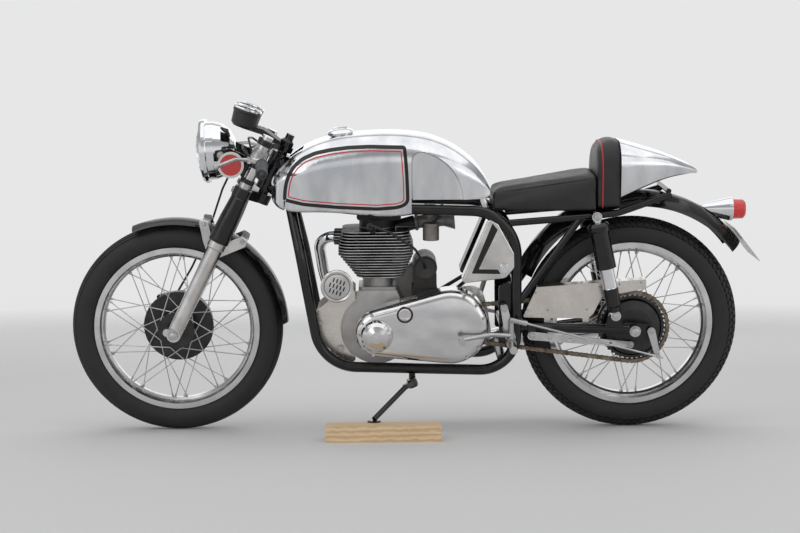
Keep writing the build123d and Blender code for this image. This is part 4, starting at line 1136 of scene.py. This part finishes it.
def tail_ring(shape, x, half, bottom, top):
    """One rounded section of the tail, as a loop of edges."""
    tall = top - bottom
    low = [shape.verts.new((x, y, bottom)) for y in (-half, half)]
    high = [shape.verts.new((x, y, top)) for y in (half, -half)]
    face = shape.faces.new(low + high)
    face.normal_update()
    for corners, offset, segments in ((high, TAIL_CROWN * min(tall, 2 * half), 10),
                                      (low, min(TAIL_BELOW * half, 0.3 * tall), 3)):
        bmesh.ops.bevel(shape, geom=corners, offset=offset, segments=segments, profile=0.5,
                        affect="VERTICES", material=-1)
    ring = [one for one in shape.faces if all(abs(vert.co.x - x) < 1e-4 for vert in one.verts)]
    edges = ring[0].edges[:]
    bmesh.ops.delete(shape, geom=ring, context="FACES_ONLY")
    return edges


tail = bmesh.new()
rings = []
for index in range(len(TAIL_SECTIONS) - 1):
    for step in range(TAIL_STEPS):
        rings.append(tail_ring(tail, *smooth_row(TAIL_SECTIONS, index, step / TAIL_STEPS)))
rings.append(tail_ring(tail, *TAIL_SECTIONS[-1]))
for ring, following in zip(rings, rings[1:]):
    bmesh.ops.bridge_loops(tail, edges=ring + following)
bmesh.ops.holes_fill(tail, edges=rings[0] + rings[-1], sides=0)
bmesh.ops.recalc_face_normals(tail, faces=tail.faces[:])
add_piece("polished_tail", tail, "frame", tank_alloy, replaces=["seat_tail"])

# %% [markdown]
# The filler cap is a flattened dome that overhangs its neck, spun from a profile, with a short
# lever across its top.

# %% Filler cap
CAP_FOOT, CAP_AXIS, CAP_TALL = Vector((-189, 0, 919)), Vector((-0.1, 0, 1)), 30
LEVER_SIZE = (9, 46, 5)
# Radius and height
CAP_PROFILE = [(0.1, 0), (29, 0), (30, 5), (37, 8), (40.5, 12), (40.5, 16), (37, 21), (28, 25.5),
               (14, 28.5), (0.1, 29.5)]
cap, cap_matrix = bmesh.new(), facing(CAP_FOOT, CAP_AXIS)
spun(cap, CAP_PROFILE, cap_matrix, 56)
add_piece("domed_filler_cap", cap, "frame", chrome, replaces=["filler_cap"])
lever = bmesh.new()
block(lever, cap_matrix @ Matrix.Translation((0, 0, CAP_TALL)), LEVER_SIZE)
bmesh.ops.bevel(lever, geom=lever.edges[:], offset=1.6, segments=2, profile=0.5, affect="EDGES",
                material=-1)
add_piece("filler_lever", lever, "frame", chrome)

# %% [markdown]
# The shock absorbers are chromed between a black can above and a black body below. Each black part
# is a thin sleeve that is turned on the same axis as the solid and stands a hair outside it.

# %% Shock absorber sleeves
SHOCK_TOP, SHOCK_FOOT, SHOCK_SIDE = Vector((579, 0, 692)), Vector((642, 0, 388)), 144
# Radius and height above the lower eye, for the can above and the body below
SLEEVES = [[(12, 149.4), (30.5, 149.4), (28.0, 264), (32.5, 270), (32.5, 282.4), (24.4, 290.6),
            (12, 290.6)],
           [(12, 11.6), (16.5, 11.6), (16.5, 25.8), (22.5, 31.8), (24.0, 86.4), (12, 86.4)]]
sleeves = bmesh.new()
for side in (-1, 1):
    shock_matrix = facing(SHOCK_FOOT + ALONG_Y * side * SHOCK_SIDE, SHOCK_TOP - SHOCK_FOOT)
    for profile in SLEEVES:
        spun(sleeves, profile, shock_matrix, 40)
add_piece("shock_sleeves", sleeves, "frame", black_enamel)

# %% [markdown]
# Two small round faces are plain: the holder by the headlamp has a red disc with a pale rim, and
# the primary case has a filler cap with a dark ring round a pale face.

# %% Round faces
DISC_AT, CASE_CAP_AT = Vector((-515, 0, 853)), Vector((2, -168.5, 399))
# Radius and place along Y of the disc's rim, then radius and height of the case cap's two parts
DISC_RIM = [(32, -137.0), (38.6, -137.0), (38.6, -133.0), (39.4, -133.0), (39.4, -138.4),
            (32, -138.4)]
CASE_CAP_RING = [(19.5, 0), (25.0, 0), (25.0, 2.4), (24.0, 3.2), (19.5, 3.2)]
CASE_CAP_FACE = [(0.1, 0), (19.5, 0), (19.5, 2.6), (15.5, 3.6), (14.5, 3.0), (0.1, 3.0)]
disc_rim, disc_face, cap_ring, cap_face = bmesh.new(), bmesh.new(), bmesh.new(), bmesh.new()
spun(disc_rim, DISC_RIM, facing(DISC_AT, ALONG_Y), 56)
add_piece("disc_rim", disc_rim, "steering", plate_white)
rod(disc_face, DISC_AT - ALONG_Y * 136.8, DISC_AT - ALONG_Y * 138.0, 33, 48)
add_piece("disc_face", disc_face, "steering", disc_red)
spun(cap_ring, CASE_CAP_RING, facing(CASE_CAP_AT, -ALONG_Y), 48)
add_piece("case_cap_ring", cap_ring, "frame", line_black)
spun(cap_face, CASE_CAP_FACE, facing(CASE_CAP_AT, -ALONG_Y), 48)
add_piece("case_cap_face", cap_face, "frame", fork_alloy)

# %% [markdown]
# The ground is a plain pale sheet. Towards its edge it turns see-through, so that it melts into the
# world instead of ending in a hard line behind the wheels.

# %% Floor
FLOOR_HALF, FADE_FROM, FADE_TO = 9.0, 2.4, 8.0
ground = bmesh.new()
bmesh.ops.create_grid(ground, x_segments=1, y_segments=1, size=FLOOR_HALF)
floor_mesh = bpy.data.meshes.new("floor")
ground.to_mesh(floor_mesh)
ground.free()
pale_floor = Finish("floor_pale", (0.62, 0.62, 0.62), roughness=0.75)
distance = pale_floor.node("ShaderNodeVectorMath", {"operation": "LENGTH"},
                           {0: pale_floor.place}, 1)
pale_floor.feed("Alpha", pale_floor.ramp(distance * (1 / FLOOR_HALF), (FADE_FROM / FLOOR_HALF, 1.0),
                                         (FADE_TO / FLOOR_HALF, 0.0)))
floor_mesh.materials.append(pale_floor.material)
linked("floor", floor_mesh)
